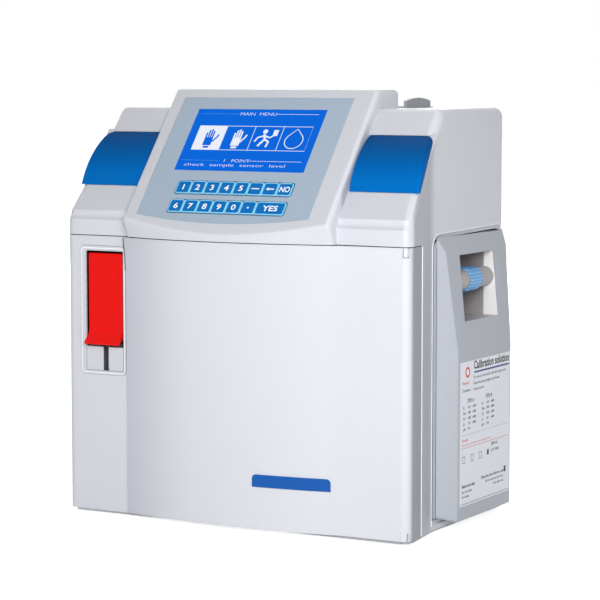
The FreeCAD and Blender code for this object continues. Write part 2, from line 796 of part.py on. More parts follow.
bezel = cut("Bezel", join("BezelWithLedge", [tubSolid, ledgeSolid]), [leverBores])
node("sampler_bezel", bezel)

leverThick = 2.4
leverFace = 0.6
lipOut = 8.6
leverBend = 174.5
leverSide = [
    (leverFace, leverHigh - 1.5),
    (leverFace, leverBend),
    (leverFace - 1.4, leverBend - 4.5),
    (leverFace - lipOut, leverBend - 11.5),
    (leverFace - lipOut + 0.4, leverBend - 13.6),
    (leverFace - lipOut + 1.8, leverBend - 14),
    (leverFace + 0.4, leverBend - 8),
    (leverFace + leverThick, leverBend - 3),
    (leverFace + leverThick, leverHigh),
    (leverFace + 1.5, leverHigh, 1.5),
]
leverPlate = prism("LeverPlate", "YZ", leverSide, leverLeft, leverRight)
cheekSide = [
    (leverFace + leverThick - 0.4, leverPivotZ - 15),
    (leverPivotY + 3.6, leverPivotZ - 5),
    (leverPivotY + 3.6, leverPivotZ + 2.2),
    (leverPivotY, leverPivotZ + 5.4),
    (leverFace + leverThick - 0.4, leverPivotZ + 5.4),
]
leftCheek = prism("LeftCheek", "YZ", cheekSide, leverLeft, leverLeft + 2.4)
rightCheek = prism("RightCheek", "YZ", cheekSide, leverRight - 2.4, leverRight)
cheekBore = rod("CheekBore", "X", leverLeft - 1, leverPivotY, leverPivotZ, leverPin + pinClear, 42)
lever = cut("Lever", join("LeverJoined", [leverPlate, leftCheek, rightCheek]), [cheekBore])
node("sampler_lever", lever)
leverPinLength = tubRight - tubLeft + 2 * tubWall
node("lever_pin", rod("LeverPinRod", "X", tubLeft - tubWall, leverPivotY, leverPivotZ, leverPin, leverPinLength))

holderBlock = box("HolderBlock", needleX - 5.5, needleX + 5.5, leverFace + leverThick, 9.4, 164.5, 204)
holderStub = box("HolderStub", needleX - 2.5, needleX + 2.5, needleY - 2.6, needleY + 2.6, 155.5, 164.5)
holderBore = rod("HolderBore", "Z", needleX, needleY, 150, needleRadius, 60)
node("needle_holder", cut("Holder", join("HolderJoined", [holderBlock, holderStub]), [holderBore]))
node("sample_needle", rod("NeedleRod", "Z", needleX, needleY, tubLow + 1.5, needleRadius, 75))

# Base plate, feet and hinge pins
trayRight = [(planX(0, 1.5) - 10, 1), (planX(12, 1.5), 12), (planX(60, 1.5), 60), (bodyHalf - 1.5, 74),
             (bodyHalf - 1.5, bodyDepth - 1.5)]
trayPlate = prism("TrayPlate", "XY", trayRight + mirrored(trayRight), soleLow, soleHigh)
lowerKnuckle = rod("LowerKnuckle", "Z", hingeX, hingeY, soleLow, knuckleRadius, knuckleTall - soleLow)
lowerBore = rod("LowerBore", "Z", hingeX, hingeY, 1.5, pinRadius, 20)
node("base_tray", cut("Tray", join("TrayJoined", [trayPlate, lowerKnuckle]), [lowerBore]))
footPlaces = [(side * footAcross, depth) for side in (-1, 1) for depth in (footFront, bodyDepth - footRear)]
feet = [
    rod("Foot%d" % index, "Z", x, y, soleLow - footHeight, footRadius, footHeight)
    for index, (x, y) in enumerate(footPlaces)
]
node("feet", group("FeetGroup", feet))
pinLow = rod("PinLow", "Z", hingeX, hingeY, 1.5, pinRadius, 17)
pinHigh = rod("PinHigh", "Z", hingeX, hingeY, seamHeight - pinInset, pinRadius, pinLength)
node("pivot_pins", group("PinGroup", [pinLow, pinHigh]))


# Front door
def doorSections(name, inset, low, high):
    """Sections of the door: a bow that spreads under the chin, a flat facet and the side return."""
    flat = term(inset)
    corner = cornerPoints(flat)
    back = returnEnd if flat.number == 0 else returnEnd + 5
    sections = []
    for index, (height, spread) in enumerate([
        (low, 0), (seamHeight - 74, 0), (seamHeight - 49, 0.08), (seamHeight - 32, 0.22), (seamHeight - 19, 0.45),
        (seamHeight - 9, 0.7), (high, 1),
    ]):
        edge = doorEdge + (seamSide - doorEdge) * spread - flat
        middle = doorBow + (seamMiddle - doorBow) * spread - flat
        side = doorHalf - 2.5 * term(spread)
        outline = [
            (-doorHalf + flat, -edge, arcRadius((doorHalf - flat + side) / 2, middle - edge)),
            (side, -edge),
            corner[0],
            corner[1],
            (planX(returnEnd, flat), back),
        ]
        if flat.number == 0:
            outline += [(planX(returnEnd) - 12, back), (planX(returnEnd) - 12, panLip), (-doorHalf, panLip)]
        else:
            outline += [(-doorHalf + flat, back)]
        sections.append(section("%sLevel%d" % (name, index), outline, height))
    return loft(name, sections)


doorHigh = seamHeight - seamGap
doorOuter = doorSections("DoorOuter", 0, doorLow, doorHigh)
doorInner = doorSections("DoorInner", wall, doorLow + wall, doorHigh - wall)
notchHigh = seamHeight - knuckleTall - 0.6
notchLow = knuckleTall + 0.6
bossTall = 12
notches = []
for name, low, high in (("NotchHigh", notchHigh, seamHeight + 5), ("NotchLow", -5, notchLow)):
    notches.append(box(name + "Box", hingeX + notchInset, halfWidth + 5, -5, notchDepth, low, high))
    notches.append(rod(name + "Rod", "Z", hingeX, hingeY, low, knuckleRadius + 0.6, high - low))
bossHigh = rod("BossHigh", "Z", hingeX, hingeY, notchHigh - bossTall, knuckleRadius, bossTall)
bossLow = rod("BossLow", "Z", hingeX, hingeY, notchLow, knuckleRadius, bossTall)
doorBore = rod("DoorBore", "Z", hingeX, hingeY, -5, pinRadius + pinClear, seamHeight + 10)
doorShell = cut("DoorShell", doorOuter, [doorInner])
door = cut("Door", join("DoorWithBosses", [cut("DoorNotched", doorShell, notches), bossHigh, bossLow]), [doorBore])
node("front_door", door)

badgeThick = 0.8
badgeGlue = 0.1
badgeLeft = 30
badgeRight = 106.5
badgeLow = 40.5
badgeHigh = 52
lowerRadius = arcRadius(doorHalf, doorBow - doorEdge)
badgeArc = prism("BadgeArc", "XY", [
    (-doorHalf, -doorEdge - badgeThick, lowerRadius),
    (doorHalf, -doorEdge - badgeThick),
    (doorHalf, -doorEdge - badgeGlue, -lowerRadius),
    (-doorHalf, -doorEdge - badgeGlue),
], badgeLow - 5, badgeHigh + 5)
badgeFace = prism("BadgeFace", "XZ", [
    (badgeLeft, badgeLow),
    (badgeRight, badgeLow),
    (badgeRight, badgeHigh - 4, 4),
    (badgeRight - 4, badgeHigh),
    (badgeLeft + 4, badgeHigh, 4),
    (badgeLeft, badgeHigh - 4),
], -40, 10)
node("badge_plate", overlap("BadgeSolid", [badgeArc, badgeFace]))
node("door_magnet", box("MagnetBox", -doorHalf + wall, -doorHalf + wall + 9, 3, 11, 120, 144))

# Keypad overlay, display and keys
rowsRight = keyShift + keyPitch * 4
rowSpaces = []
for name, middle in (("UpperRowSpace", upperRow), ("LowerRowSpace", lowerRow)):
    rowSpaces.append(prism(name, "XY", roundedRectangle(
        keysLeft + keyGap / 2 - keyClear, rowsRight - keyGap / 2 + keyClear,
        middle - keyHeight / 2 - keyClear, middle + keyHeight / 2 + keyClear, keyRound,
    ), -5, 5))
windowSpace = prism("WindowSpace", "XY", rectangle(
    displayShift - displayHalf - 0.1, displayShift + displayHalf + 0.1, displayLow - 0.1, displayHigh + 0.1
), -5, 5)
overlayPlate = prism("OverlayPlate", "XY", overlayOutline(0), -overlayRecess, overlayThick - overlayRecess)
faceNode("keypad_overlay", cut("Overlay", overlayPlate, rowSpaces + [windowSpace]))
faceNode("display_window", prism("WindowPane", "XY", rectangle(
    displayShift - displayHalf, displayShift + displayHalf, displayLow, displayHigh
), -overlayRecess, overlayThick - overlayRecess - 0.2))
glassBlock = prism("GlassBlock", "XY", rectangle(
    displayShift - displayHalf + 2.4, displayShift + displayHalf - 2.4, displayLow + 2.4, displayHigh - 2.4
), -overlayRecess - faceWall, -overlayRecess - 0.2)
moduleBlock = prism("ModuleBlock", "XY", rectangle(
    displayShift - displayHalf - 3, displayShift + displayHalf + 3, displayLow - 4, displayHigh + 4
), -overlayRecess - faceWall - 7, -overlayRecess - faceWall)
faceNode("display_module", join("ModuleSolid", [glassBlock, moduleBlock]))

upperKeys = ["key_1", "key_2", "key_3", "key_4", "key_5", "key_dash", "key_back", "key_no"]
lowerKeys = ["key_6", "key_7", "key_8", "key_9", "key_0", "key_point", "key_yes"]
keyTop = overlayThick - overlayRecess + keyStand
keyBottom = keyTravel + 0.2 - overlayRecess
for names, middle in ((upperKeys, upperRow), (lowerKeys, lowerRow)):
    for index, name in enumerate(names):
        spans = 2 if name == "key_yes" else 1
        left = keysLeft + keyPitch * index + keyGap / 2
        right = keysLeft + keyPitch * (index + spans) - keyGap / 2
        outline = roundedRectangle(left, right, middle - keyHeight / 2, middle + keyHeight / 2, keyRound)
        faceNode(name, prism("Solid_" + name, "XY", outline, keyBottom, keyTop))


# Blue inlays
def inlay(name, side):
    profile = inlayOutline(0, True)
    low, high = (inlayInner, halfWidth + 2) if side > 0 else (-halfWidth - 2, -inlayInner)
    bulge = prism(name + "Bulge", "YZ", profile, low, high)
    right = [(planX(0, 0.1), 0), (planX(95, 0.1), 95)]
    left = [(-planX(95, 0.1), 95), (-planX(0, 0.1), 0)]
    plan = prism(name + "Plan", "XY", right + left, shoulderFoot - 4, deckHeight + 15)
    edge = planX(58, 0.1)
    front = [
        (inlayInner - 5, inlayLow - 11), (halfWidth + 5, inlayLow - 11), (halfWidth + 5, inlayLow + 25),
        (edge, inlayHigh - inlayCorner, inlayCorner),
        (edge - inlayCorner, inlayHigh), (inlayInner - 5, inlayHigh),
    ]
    if side < 0:
        front = mirrored(front)
    view = prism(name + "Front", "XZ", front, 0, 120)
    block = overlap(name + "Block", [bulge, plan, view])

    def outerRim(middle, run):
        return middle.x * side > 170 and middle.y < shoulderY(middle.z).number - 2 and abs(run.z) > 20

    return rounded(name + "Round", block, 3, outerRim)


node("right_inlay", inlay("RightInlay", 1))
node("left_inlay", inlay("LeftInlay", -1))

# Chassis plate, electrodes, pump and fluid path
chassisBack = chassisY + chassisThick
chassisHalf = 150
cableX = size("cableX", 110, "sideways place of the cable hole")
cableZ = size("cableZ", 240, "height of the cable hole")
spindle = 2.5
plate = box("ChassisBlank", -chassisHalf, chassisHalf, chassisY, chassisBack, soleHigh, seamHeight + 36)
foot = box("ChassisFoot", -chassisHalf, chassisHalf - 62, chassisBack, chassisBack + 14, soleHigh, soleHigh + 1.5)
shaftHole = rod("ShaftHole", "Y", pumpX, chassisY - 5, pumpZ, spindle + 2, 20)
cableHole = rod("CableHole", "Y", cableX, chassisY - 5, cableZ, 14, 20)
node("chassis_plate", cut("Chassis", join("ChassisJoined", [plate, foot]), [shaftHole, cableHole]))

electrodeY = 19
electrodeTall = 50
shelfLow = electrodeZ - electrodeTall / 2 - 7
shelfLeft = electrodeX - 16
shelfRight = electrodeX + electrodeStep * 3 + 16
carrierBack = box(
    "CarrierBack", shelfLeft, shelfRight, chassisY - 3, chassisY, shelfLow, electrodeZ + electrodeTall / 2 + 8
)
carrierShelf = box("CarrierShelf", shelfLeft, shelfRight, 6, chassisY - 3, shelfLow, shelfLow + 7)
sockets = [
    rod("Socket%d" % index, "Z", electrodeX + electrodeStep * index, electrodeY, shelfLow + 3, 5.1, 10)
    for index in range(4)
]
node("electrode_carrier", cut("Carrier", join("CarrierJoined", [carrierBack, carrierShelf]), sockets))
for index, name in enumerate(["sodium_electrode", "potassium_electrode", "chloride_electrode", "reference_electrode"]):
    profile = [
        (0, -4),
        (5, -4),
        (5, 0),
        (electrodeRadius, 0),
        (electrodeRadius, electrodeTall - 12),
        (electrodeRadius - 2, electrodeTall - 10),
        (electrodeRadius - 2, electrodeTall),
        (0, electrodeTall),
    ]
    body = turned("Electrode%d" % index, profile)
    bodyNode(name, body, "Z", electrodeX + electrodeStep * index, electrodeY, shelfLow + 7)

pumpHalf = 30
pumpFront = 12
pumpClear = size("pumpClear", 5, "room for the tube between a roller and the bed of the pump")
cavity = rotorRadius + rollerRadius + pumpClear
pumpBlock = prism("PumpBlock", "XZ", roundedRectangle(
    pumpX - pumpHalf, pumpX + pumpHalf, pumpZ - pumpHalf, pumpZ + pumpHalf, 6
), pumpFront, chassisY)
pumpCavity = rod("PumpCavity", "Y", pumpX, pumpFront - 5, pumpZ, cavity, chassisY - pumpFront + 2)
pumpBore = rod("PumpBore", "Y", pumpX, pumpFront - 5, pumpZ, spindle + pinClear, 60)
tubeX = pumpX - rotorRadius - rollerRadius - 2
tubeHole = rod("TubeHole", "Z", tubeX, 21, pumpZ, 2.2, pumpHalf + 5)
node("pump_housing", cut("PumpHousing", pumpBlock, [pumpCavity, pumpBore, tubeHole]))

flangeRadius = rotorRadius + 3
rotor = turned("Rotor", [
    (0, -1),
    (spindle, -1),
    (spindle, 0),
    (flangeRadius, 0),
    (flangeRadius, 2),
    (8, 2),
    (8, 13),
    (flangeRadius, 13),
    (flangeRadius, 15),
    (6, 15),
    (6, 17),
    (0, 17),
])
stemSketch = rotor.newObject("Sketcher::SketchObject", "StemSketch")
for feature in rotor.Origin.OriginFeatures:
    if feature.Role == "XY_Plane":
        stemSketch.AttachmentSupport = [(feature, "")]
stemSketch.MapMode = "FlatFace"
stemSketch.addGeometry(Part.Circle(Vector(0, 0, 0), Vector(0, 0, 1), spindle), False)
stemSketch.addConstraint(Sketcher.Constraint("Coincident", 0, 3, -1, 1))
stemSketch.addConstraint(Sketcher.Constraint("Radius", 0, spindle))
pinSketch = rotor.newObject("Sketcher::SketchObject", "PinSketch")
for feature in rotor.Origin.OriginFeatures:
    if feature.Role == "XY_Plane":
        pinSketch.AttachmentSupport = [(feature, "")]
pinSketch.MapMode = "FlatFace"
pinSketch.addGeometry(Part.Circle(Vector(rotorRadius.number, 0, 0), Vector(0, 0, 1), 1.5), False)
pinSketch.addConstraint(Sketcher.Constraint("Radius", 0, 1.5))
pinSketch.addConstraint(Sketcher.Constraint("PointOnObject", 0, 3, -1))
pinAt = pinSketch.addConstraint(Sketcher.Constraint("DistanceX", -1, 1, 0, 3, rotorRadius.number))
pinSketch.setExpression("Constraints[%d]" % pinAt, rotorRadius.text)
doc.recompute()
rollerPin = rotor.newObject("PartDesign::Pad", "RollerPin")
rollerPin.Profile = pinSketch
rollerPin.Length = 14
stem = rotor.newObject("PartDesign::Pad", "Stem")
stem.Profile = stemSketch
stem.Length = 16
stem.Reversed = True
pattern = rotor.newObject("PartDesign::PolarPattern", "RollerPins")
pattern.Originals = [rollerPin]
pattern.Axis = (pinSketch, ["N_Axis"])
pattern.Angle = 360
pattern.Occurrences = 3
rotor.Tip = pattern
# The rotor's own axis points forward, from the motor to the door.
rotorBack = chassisY - 4
rotor.Label = "pump_rotor"
rotor.Placement = FreeCAD.Placement(Vector(), FreeCAD.Rotation(Vector(1, 0, 0), 90))
bind(rotor, "Placement.Base.x", offsetX + pumpX)
bind(rotor, "Placement.Base.y", offsetY + rotorBack)
bind(rotor, "Placement.Base.z", offsetZ + pumpZ)
nodes.append(rotor)
for index in range(3):
    roller = turned("Roller%d" % index, ring(1.5 + pinClear, rollerRadius, 2.4, 12.6))
    roller.Label = "pump_roller_%d" % (index + 1)
    roller.Placement = FreeCAD.Placement(Vector(), FreeCAD.Rotation(Vector(1, 0, 0), 90))
    angle = math.radians(120 * index)
    bind(roller, "Placement.Base.x", offsetX + pumpX + rotorRadius * math.cos(angle))
    bind(roller, "Placement.Base.y", offsetY + rotorBack)
    bind(roller, "Placement.Base.z", offsetZ + pumpZ + rotorRadius * math.sin(angle))
    nodes.append(roller)

motorCan = rod("MotorCan", "Y", pumpX, chassisBack, pumpZ, 17, 42)
motorBore = rod("MotorBore", "Y", pumpX, chassisBack - 5, pumpZ, spindle + pinClear, 22)
node("pump_motor", cut("Motor", motorCan, [motorBore]))

valveBase = prism("ValveBase", "XZ", roundedRectangle(-62, -18, 84, 112, 3), 16, chassisY)
valveCoil = rod("ValveCoil", "Y", -50, 6, 98, 8, 10)
valveCoilRight = rod("ValveCoilRight", "Y", -30, 6, 98, 8, 10)
node("valve_block", join("Valve", [valveBase, valveCoil, valveCoilRight]))

tubeRadius = 1.9
tubeY = 21
tubeHigh = 182
lastRight = electrodeX + electrodeStep * 3 + electrodeRadius
tubeRun = [
    rod("TubeAcross", "X", lastRight, tubeY, tubeHigh, tubeRadius, tubeX - lastRight),
    rod("TubeDown", "Z", tubeX, tubeY, pumpZ + 9, tubeRadius, tubeHigh - pumpZ - 9),
]
elbow = doc.addObject("Part::Sphere", "TubeElbow")
bind(elbow, "Radius", tubeRadius)
bind(elbow, "Placement.Base.x", tubeX)
bind(elbow, "Placement.Base.y", tubeY)
bind(elbow, "Placement.Base.z", tubeHigh)
node("tubing", join("Tubing", tubeRun + [elbow]))

# Electronics
boardY = chassisBack + 10
boardHigh = seamHeight + 6
boardBlank = box("BoardBlank", -140, 20, boardY, boardY + 1.6, 80, boardHigh)
boardPosts = [
    rod("BoardPost%d" % index, "Y", x, chassisBack, z, 3, 10)
    for index, (x, z) in enumerate([(-134, 86), (14, 86), (-134, boardHigh - 6), (14, boardHigh - 6)])
]
boardChips = [
    box("BoardChip%d" % index, x, x + w, boardY + 1.6, boardY + 1.6 + t, z, z + h)
    for index, (x, z, w, h, t) in enumerate([
        (-100, 190, 28, 28, 3), (-50, 200, 34, 16, 4), (-110, 120, 20, 34, 9), (-60, 110, 50, 18, 12),
    ])
]
node("main_board", join("Board", [boardBlank] + boardPosts + boardChips))
panelThick = 1.5
panelFront = bodyDepth - wall - panelThick
inletDeep = size("inletDeep", 22, "how far the power inlet reaches in from the rear panel")
supplyX = size("supplyX", -160, "left side of the power supply")
supplyWide = size("supplyWide", 94, "width of the power supply")
supplyTall = size("supplyTall", 53.5, "height of the power supply")
supplyRear = panelFront - inletDeep - 0.5
supplyBase = box("SupplyBase", supplyX, supplyX + supplyWide, 100, supplyRear, soleHigh, soleHigh + supplyTall)
supplySlots = [
    box(
        "SupplySlot%d" % index, supplyX + 8 + 12 * index, supplyX + 14 + 12 * index, 98, supplyRear - 10,
        soleHigh + supplyTall - 20, soleHigh + supplyTall + 5,
    )
    for index in range(7)
]
node("power_supply", cut("Supply", supplyBase, supplySlots))

# Rear panel with air slots, power inlet and switch
inletX = size("inletX", 140, "distance of the power inlet left of the middle")
inletZ = size("inletZ", 40, "height of the power inlet")
panelLap = size("panelLap", 2.5, "how far the rear panel laps behind the frame round it")
panelBlank = box(
    "PanelBlank", rearFrame - bodyHalf - panelLap, bodyHalf - rearFrame + panelLap, panelFront, bodyDepth - wall,
    soleHigh, rearHigh + 4,
)
inletHole = box("InletHole", -inletX - 15, -inletX + 45, panelFront - 1, bodyDepth, inletZ - 13, inletZ + 13)
airSlot = prism("AirSlot", "XZ", roundedRectangle(-60, 60, 200, 203.5, 1.7), panelFront - 5, bodyDepth + 5)
airSlots = [airSlot]
for index in range(1, 9):
    airSlots.append(prism("AirSlot%d" % index, "XZ", roundedRectangle(
        -60, 60, 200 + 9 * index, 203.5 + 9 * index, 1.7
    ), panelFront - 5, bodyDepth + 5))
node("rear_panel", cut("RearPanel", panelBlank, [inletHole] + airSlots))
inletFrame = box("InletFrame", -inletX - 17, -inletX + 47, bodyDepth - wall, bodyDepth - wall + 2, inletZ - 15, inletZ + 15)
inletBody = box("InletBody", -inletX - 14.8, -inletX + 44.8, panelFront - inletDeep, bodyDepth - wall, inletZ - 12.8, inletZ + 12.8)
inletSocket = prism("InletSocket", "XZ", [
    (-inletX - 12, inletZ - 8), (-inletX + 12, inletZ - 8), (-inletX + 12, inletZ + 3), (-inletX + 7, inletZ + 8),
    (-inletX - 7, inletZ + 8), (-inletX - 12, inletZ + 3),
], panelFront - 18, bodyDepth + 5)
switchX = -inletX + 32
switchSpace = box("SwitchSpace", switchX - 8, switchX + 8, panelFront - 14, bodyDepth + 5, inletZ - 11, inletZ + 11)
switchBore = rod("SwitchBore", "X", switchX - 11, bodyDepth - 7, inletZ, 1.2, 22)
inletShell = cut("InletShell", join("InletJoined", [inletFrame, inletBody]), [inletSocket, switchSpace, switchBore])
blades = [
    box("Blade%d" % index, x - 1, x + 1, panelFront - 18, bodyDepth - 6, z - 2, z + 2)
    for index, (x, z) in enumerate([(-inletX - 7, inletZ - 2), (-inletX, inletZ + 2.5), (-inletX + 7, inletZ - 2)])
]
node("power_inlet", join("Inlet", [inletShell] + blades))
rockerY = bodyDepth - 7
stemHalf = size("stemHalf", 10.8, "half length of the pivot of the switch")
rockerSide = [
    (rockerY - 4, inletZ - 6),
    (rockerY + 4.2, inletZ - 9.6),
    (rockerY + 6.8, inletZ - 9.2),
    (rockerY + 4.4, inletZ),
    (rockerY + 4.6, inletZ + 9.6),
    (rockerY + 2.2, inletZ + 9.8),
    (rockerY - 4, inletZ + 6),
]
rocker = prism("Rocker", "YZ", rockerSide, switchX - 7.6, switchX + 7.6)
rockerStem = rod("RockerStem", "X", switchX - stemHalf, rockerY, inletZ, 1.2 - pinClear, 2 * stemHalf)
node("power_switch", join("RockerJoined", [rocker, rockerStem]))

# Printer, roll holder and paper
printerBody = box("PrinterBody", rollX - 33, rollX + 33, 88, wellFront - 1.2, deckHeight - 40, deckHeight - 5)
slotY = size("slotY", 112, "depth of the slot for the paper in the printer")
printerSlot = box("PrinterSlot", rollX - 29, rollX + 29, slotY, slotY + 2, deckHeight - 30, deckHeight)
printerMount = box("PrinterMount", rollX - 22, rollX + 22, wellFront - 1.2, wellFront - 0.2, deckHeight - 38, deckHeight - 20)
node("printer", join("PrinterSolid", [cut("PrinterCut", printerBody, [printerSlot]), printerMount]))
wellLow = rollZ - rollRadius - 4
wellOuter = box("WellOuter", wellLeft, wellRight, wellFront, wellRear, wellLow, deckHeight)
wellInner = box(
    "WellInner", wellLeft + earThick, wellRight - earThick, wellFront + 2, wellRear - 2, wellLow + 2, deckHeight + 5
)
wellRim = box("WellRim", wellLeft - 2, wellRight + 2, wellFront - 2, wellRear + 2, deckHeight, deckHeight + 0.9)
ears = []
for name, left in (("LeftEar", wellLeft), ("RightEar", wellRight - earThick)):
    ears.append(prism(name, "YZ", [
        (wellFront, deckHeight - 5),
        (wellRear, deckHeight - 5),
        (wellRear, earHigh - 3, arcRadius(earHalf, 3)),
        (wellFront, earHigh - 3),
    ], left, left + earThick))
axleHole = rod("AxleHole", "X", wellLeft - 5, rollY, rollZ, axleRadius + pinClear, 100)
earHole = rod("EarHole", "X", wellLeft - 5, rollY, earHigh - 4, 1.8, 100)
wellShell = cut("WellShell", join("WellJoined", [wellOuter, wellRim]), [wellInner])
node("roll_holder", cut("RollHolder", join("HolderWithEars", [wellShell] + ears), [axleHole, earHole]))
axleLength = 2 * (earInner + earThick)
bodyNode("paper_axle", turned("Axle", [
    (0, 0), (axleRadius, 0), (axleRadius, axleLength), (0, axleLength),
]), "X", wellLeft, rollY, rollZ)
bodyNode("paper_roll", turned("Roll", ring(
    axleRadius + 0.05, rollRadius, 0, 2 * rollHalf
)), "X", rollX - rollHalf, rollY, rollZ)

# Reagent pack and its bay
linerLeft = bodyHalf - packDepth - 3
linerWall = 1.6
linerRight = bodyHalf - wall - size("linerClear", 0.3, "clearance between the bay and the side wall")
linerOuter = prism("LinerOuter", "YZ", bayOutline(linerWall), linerLeft - linerWall, linerRight)
linerInner = prism("LinerInner", "YZ", bayOutline(0), linerLeft, bodyHalf + 5)
linerFoot = box(
    "LinerFoot", linerLeft, linerRight, packFront + 20, packFront + 30, soleHigh, packLow - linerWall
)
linerFootRear = box(
    "LinerFootRear", linerLeft, linerRight, packRear - 30, packRear - 20, soleHigh, packLow - linerWall
)
liner = cut("Liner", join("LinerJoined", [linerOuter, linerFoot, linerFootRear]), [linerInner])
node("pack_bay", liner)

trayWall = 2
partingX = bodyHalf + partingStand
trayOuter = prism("PackOuter", "YZ", bayOutline(-packClear), bodyHalf - packDepth, partingX)
trayInner = prism("PackInner", "YZ", bayOutline(-packClear - trayWall), bodyHalf - packDepth + trayWall, partingX + 5)
node("pack_tray", cut("PackTray", trayOuter, [trayInner]))

coverFront = packFront + packClear
coverRear = packRear - packClear
coverBase = packLow + packClear


def coverBlock(name, inset):
    """The cover of the pack: an upright lower face, an upper face that leans in and slanting edges."""
    flat = term(inset)
    outer = packOuter - flat
    lean = bodyHalf + coverTopStand
    side = [
        (partingX - (1 if flat.number > 0 else 0), coverBase + flat),
        (outer, coverLowZ + flat),
        (outer, coverElbow),
        (lean - flat, coverTopZ - flat * 0.6),
        (partingX, packHigh + packRise - packClear - flat),
        (partingX - (1 if flat.number > 0 else 0), packHigh + packRise - packClear - flat),
    ]
    if flat.number == 0:
        side = side[:5]
    plan = [
        (partingX - 1, coverFront + flat - coverFrontSlant / coverStand),
        (packOuter, coverFront + coverFrontSlant + flat),
        (packOuter, coverRear - coverRearSlant - flat),
        (partingX - 1, coverRear - flat + coverRearSlant / coverStand),
    ]
    sidePrism = prism(name + "Side", "XZ", side, coverFront - 5, coverRear + 5)
    planPrism = prism(name + "Plan", "XY", plan, 0, packHigh + 10)
    return overlap(name + "Block", [sidePrism, planPrism])


def coverEdge(middle, run):
    """The edges round the two outer faces of the cover."""
    return middle.x > partingX.number + 1.5


coverRound = size("coverRound", 3, "rounding of the edges of the cover")
coverOuter = rounded("CoverSoft", coverBlock("CoverOuter", 0), coverRound, coverEdge)
coverInner = coverBlock("CoverInner", 2)
gripFront = 99.5
gripRear = 171
gripLow = 190
gripHigh = 251
gripBack = bodyHalf - 24
barX = bodyHalf + 0.8
barZ = 226.5
barRadius = 9.5
gripLiner = box("GripLiner", gripBack - 2, partingX + 20, gripFront - 2, gripRear + 2, gripLow - 2, gripHigh + 2)
gripShell = overlap("GripShell", [gripLiner, join("GripRegion", [
    coverOuter, box("GripInside", gripBack - 2, partingX, gripFront - 2, gripRear + 2, gripLow - 2, gripHigh + 2),
])])
gripSpace = box("GripSpace", gripBack, partingX + 40, gripFront, gripRear, gripLow, gripHigh)
coverShell = cut("CoverShell", coverOuter, [coverInner])
coverOpen = cut("CoverOpen", join("CoverWithGrip", [coverShell, gripShell]), [gripSpace])
gripBar = rod("GripBar", "Y", barX, gripFront - 1, barZ, barRadius, gripRear - gripFront + 2)
node("pack_cover", join("Cover", [coverOpen, gripBar]))
clipFront = 121
clipRear = 143
clipInner = barRadius + 0.3
clipOuter = clipInner + 1.6
clipRing = cut("ClipRing", rod("ClipOuter", "Y", barX, clipFront, barZ, clipOuter, clipRear - clipFront), [
    rod("ClipInner", "Y", barX, clipFront - 5, barZ, clipInner, clipRear - clipFront + 10),
])
clipGap = box("ClipGap", barX - 20, barX - 5, clipFront - 5, clipRear + 5, barZ - 20, barZ + 20)
node("pack_clip", cut("Clip", clipRing, [clipGap]))

doc.recompute()
os.makedirs("parts", exist_ok=True)
for item in doc.Objects:
    if "Invalid" in item.State or "Error" in item.State:
        raise ValueError("Not built: " + item.Name)
    if hasattr(item, "Shape") and (item.Shape.isNull() or not item.Shape.isValid()):
        raise ValueError("Bad shape: " + item.Name)
for piece in nodes:
    piece.Shape.exportStep("parts/" + piece.Label + ".step")
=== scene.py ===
import json
import math

import bpy
import numpy as np
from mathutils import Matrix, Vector

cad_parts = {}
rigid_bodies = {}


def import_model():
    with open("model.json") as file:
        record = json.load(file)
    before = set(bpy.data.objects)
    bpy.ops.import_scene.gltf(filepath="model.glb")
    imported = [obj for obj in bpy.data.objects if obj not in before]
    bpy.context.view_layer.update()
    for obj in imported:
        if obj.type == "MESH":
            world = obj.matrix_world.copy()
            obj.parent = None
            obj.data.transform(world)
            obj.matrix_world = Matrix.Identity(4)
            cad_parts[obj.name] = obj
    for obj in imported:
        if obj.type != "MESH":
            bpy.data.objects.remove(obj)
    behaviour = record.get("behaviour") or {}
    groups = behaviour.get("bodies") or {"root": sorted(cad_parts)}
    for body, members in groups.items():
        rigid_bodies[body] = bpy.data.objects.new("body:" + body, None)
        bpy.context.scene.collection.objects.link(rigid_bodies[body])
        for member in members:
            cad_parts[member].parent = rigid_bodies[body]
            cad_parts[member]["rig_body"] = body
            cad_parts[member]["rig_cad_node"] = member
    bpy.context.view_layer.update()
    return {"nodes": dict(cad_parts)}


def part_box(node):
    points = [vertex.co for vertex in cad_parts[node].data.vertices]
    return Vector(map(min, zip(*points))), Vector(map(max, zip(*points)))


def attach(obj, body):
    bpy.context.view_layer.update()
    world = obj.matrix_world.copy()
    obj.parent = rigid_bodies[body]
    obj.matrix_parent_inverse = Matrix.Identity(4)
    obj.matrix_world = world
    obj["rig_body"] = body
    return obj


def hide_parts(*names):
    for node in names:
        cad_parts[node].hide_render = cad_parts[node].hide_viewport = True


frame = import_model()
print("frame loaded")


# Places below are in millimetres of the drawing: x to the right, y to the rear from the front corners,
# z up from the lower edge of the housing.
perMetre = 1000
drawing = {"rear": 214.0, "feetTop": -1.5}  # depth of the rear panel's face, height of the top of the feet


# What carries the drawing into the frame: the middle between the inlays, the rear panel and the feet.
def readShift():
    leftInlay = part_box("left_inlay")
    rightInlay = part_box("right_inlay")
    return np.array([
        (leftInlay[0].x + rightInlay[1].x) * perMetre / 2,
        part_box("rear_panel")[1].y * perMetre - drawing["rear"],
        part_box("feet")[1].z * perMetre - drawing["feetTop"],
    ])


shift = readShift()
face = {"y": 3.7, "z": 306.2, "slope": 0.81}  # the sloping face of the console
lean = math.sqrt(1 + face["slope"] ** 2)
faceUp = np.array([0, face["slope"], 1]) / lean
faceOut = np.array([0, -1, face["slope"]]) / lean


# A point of the drawing, moved by the shift, in metres of the frame.
def place(points):
    return (np.asarray(points, float) + shift) / perMetre


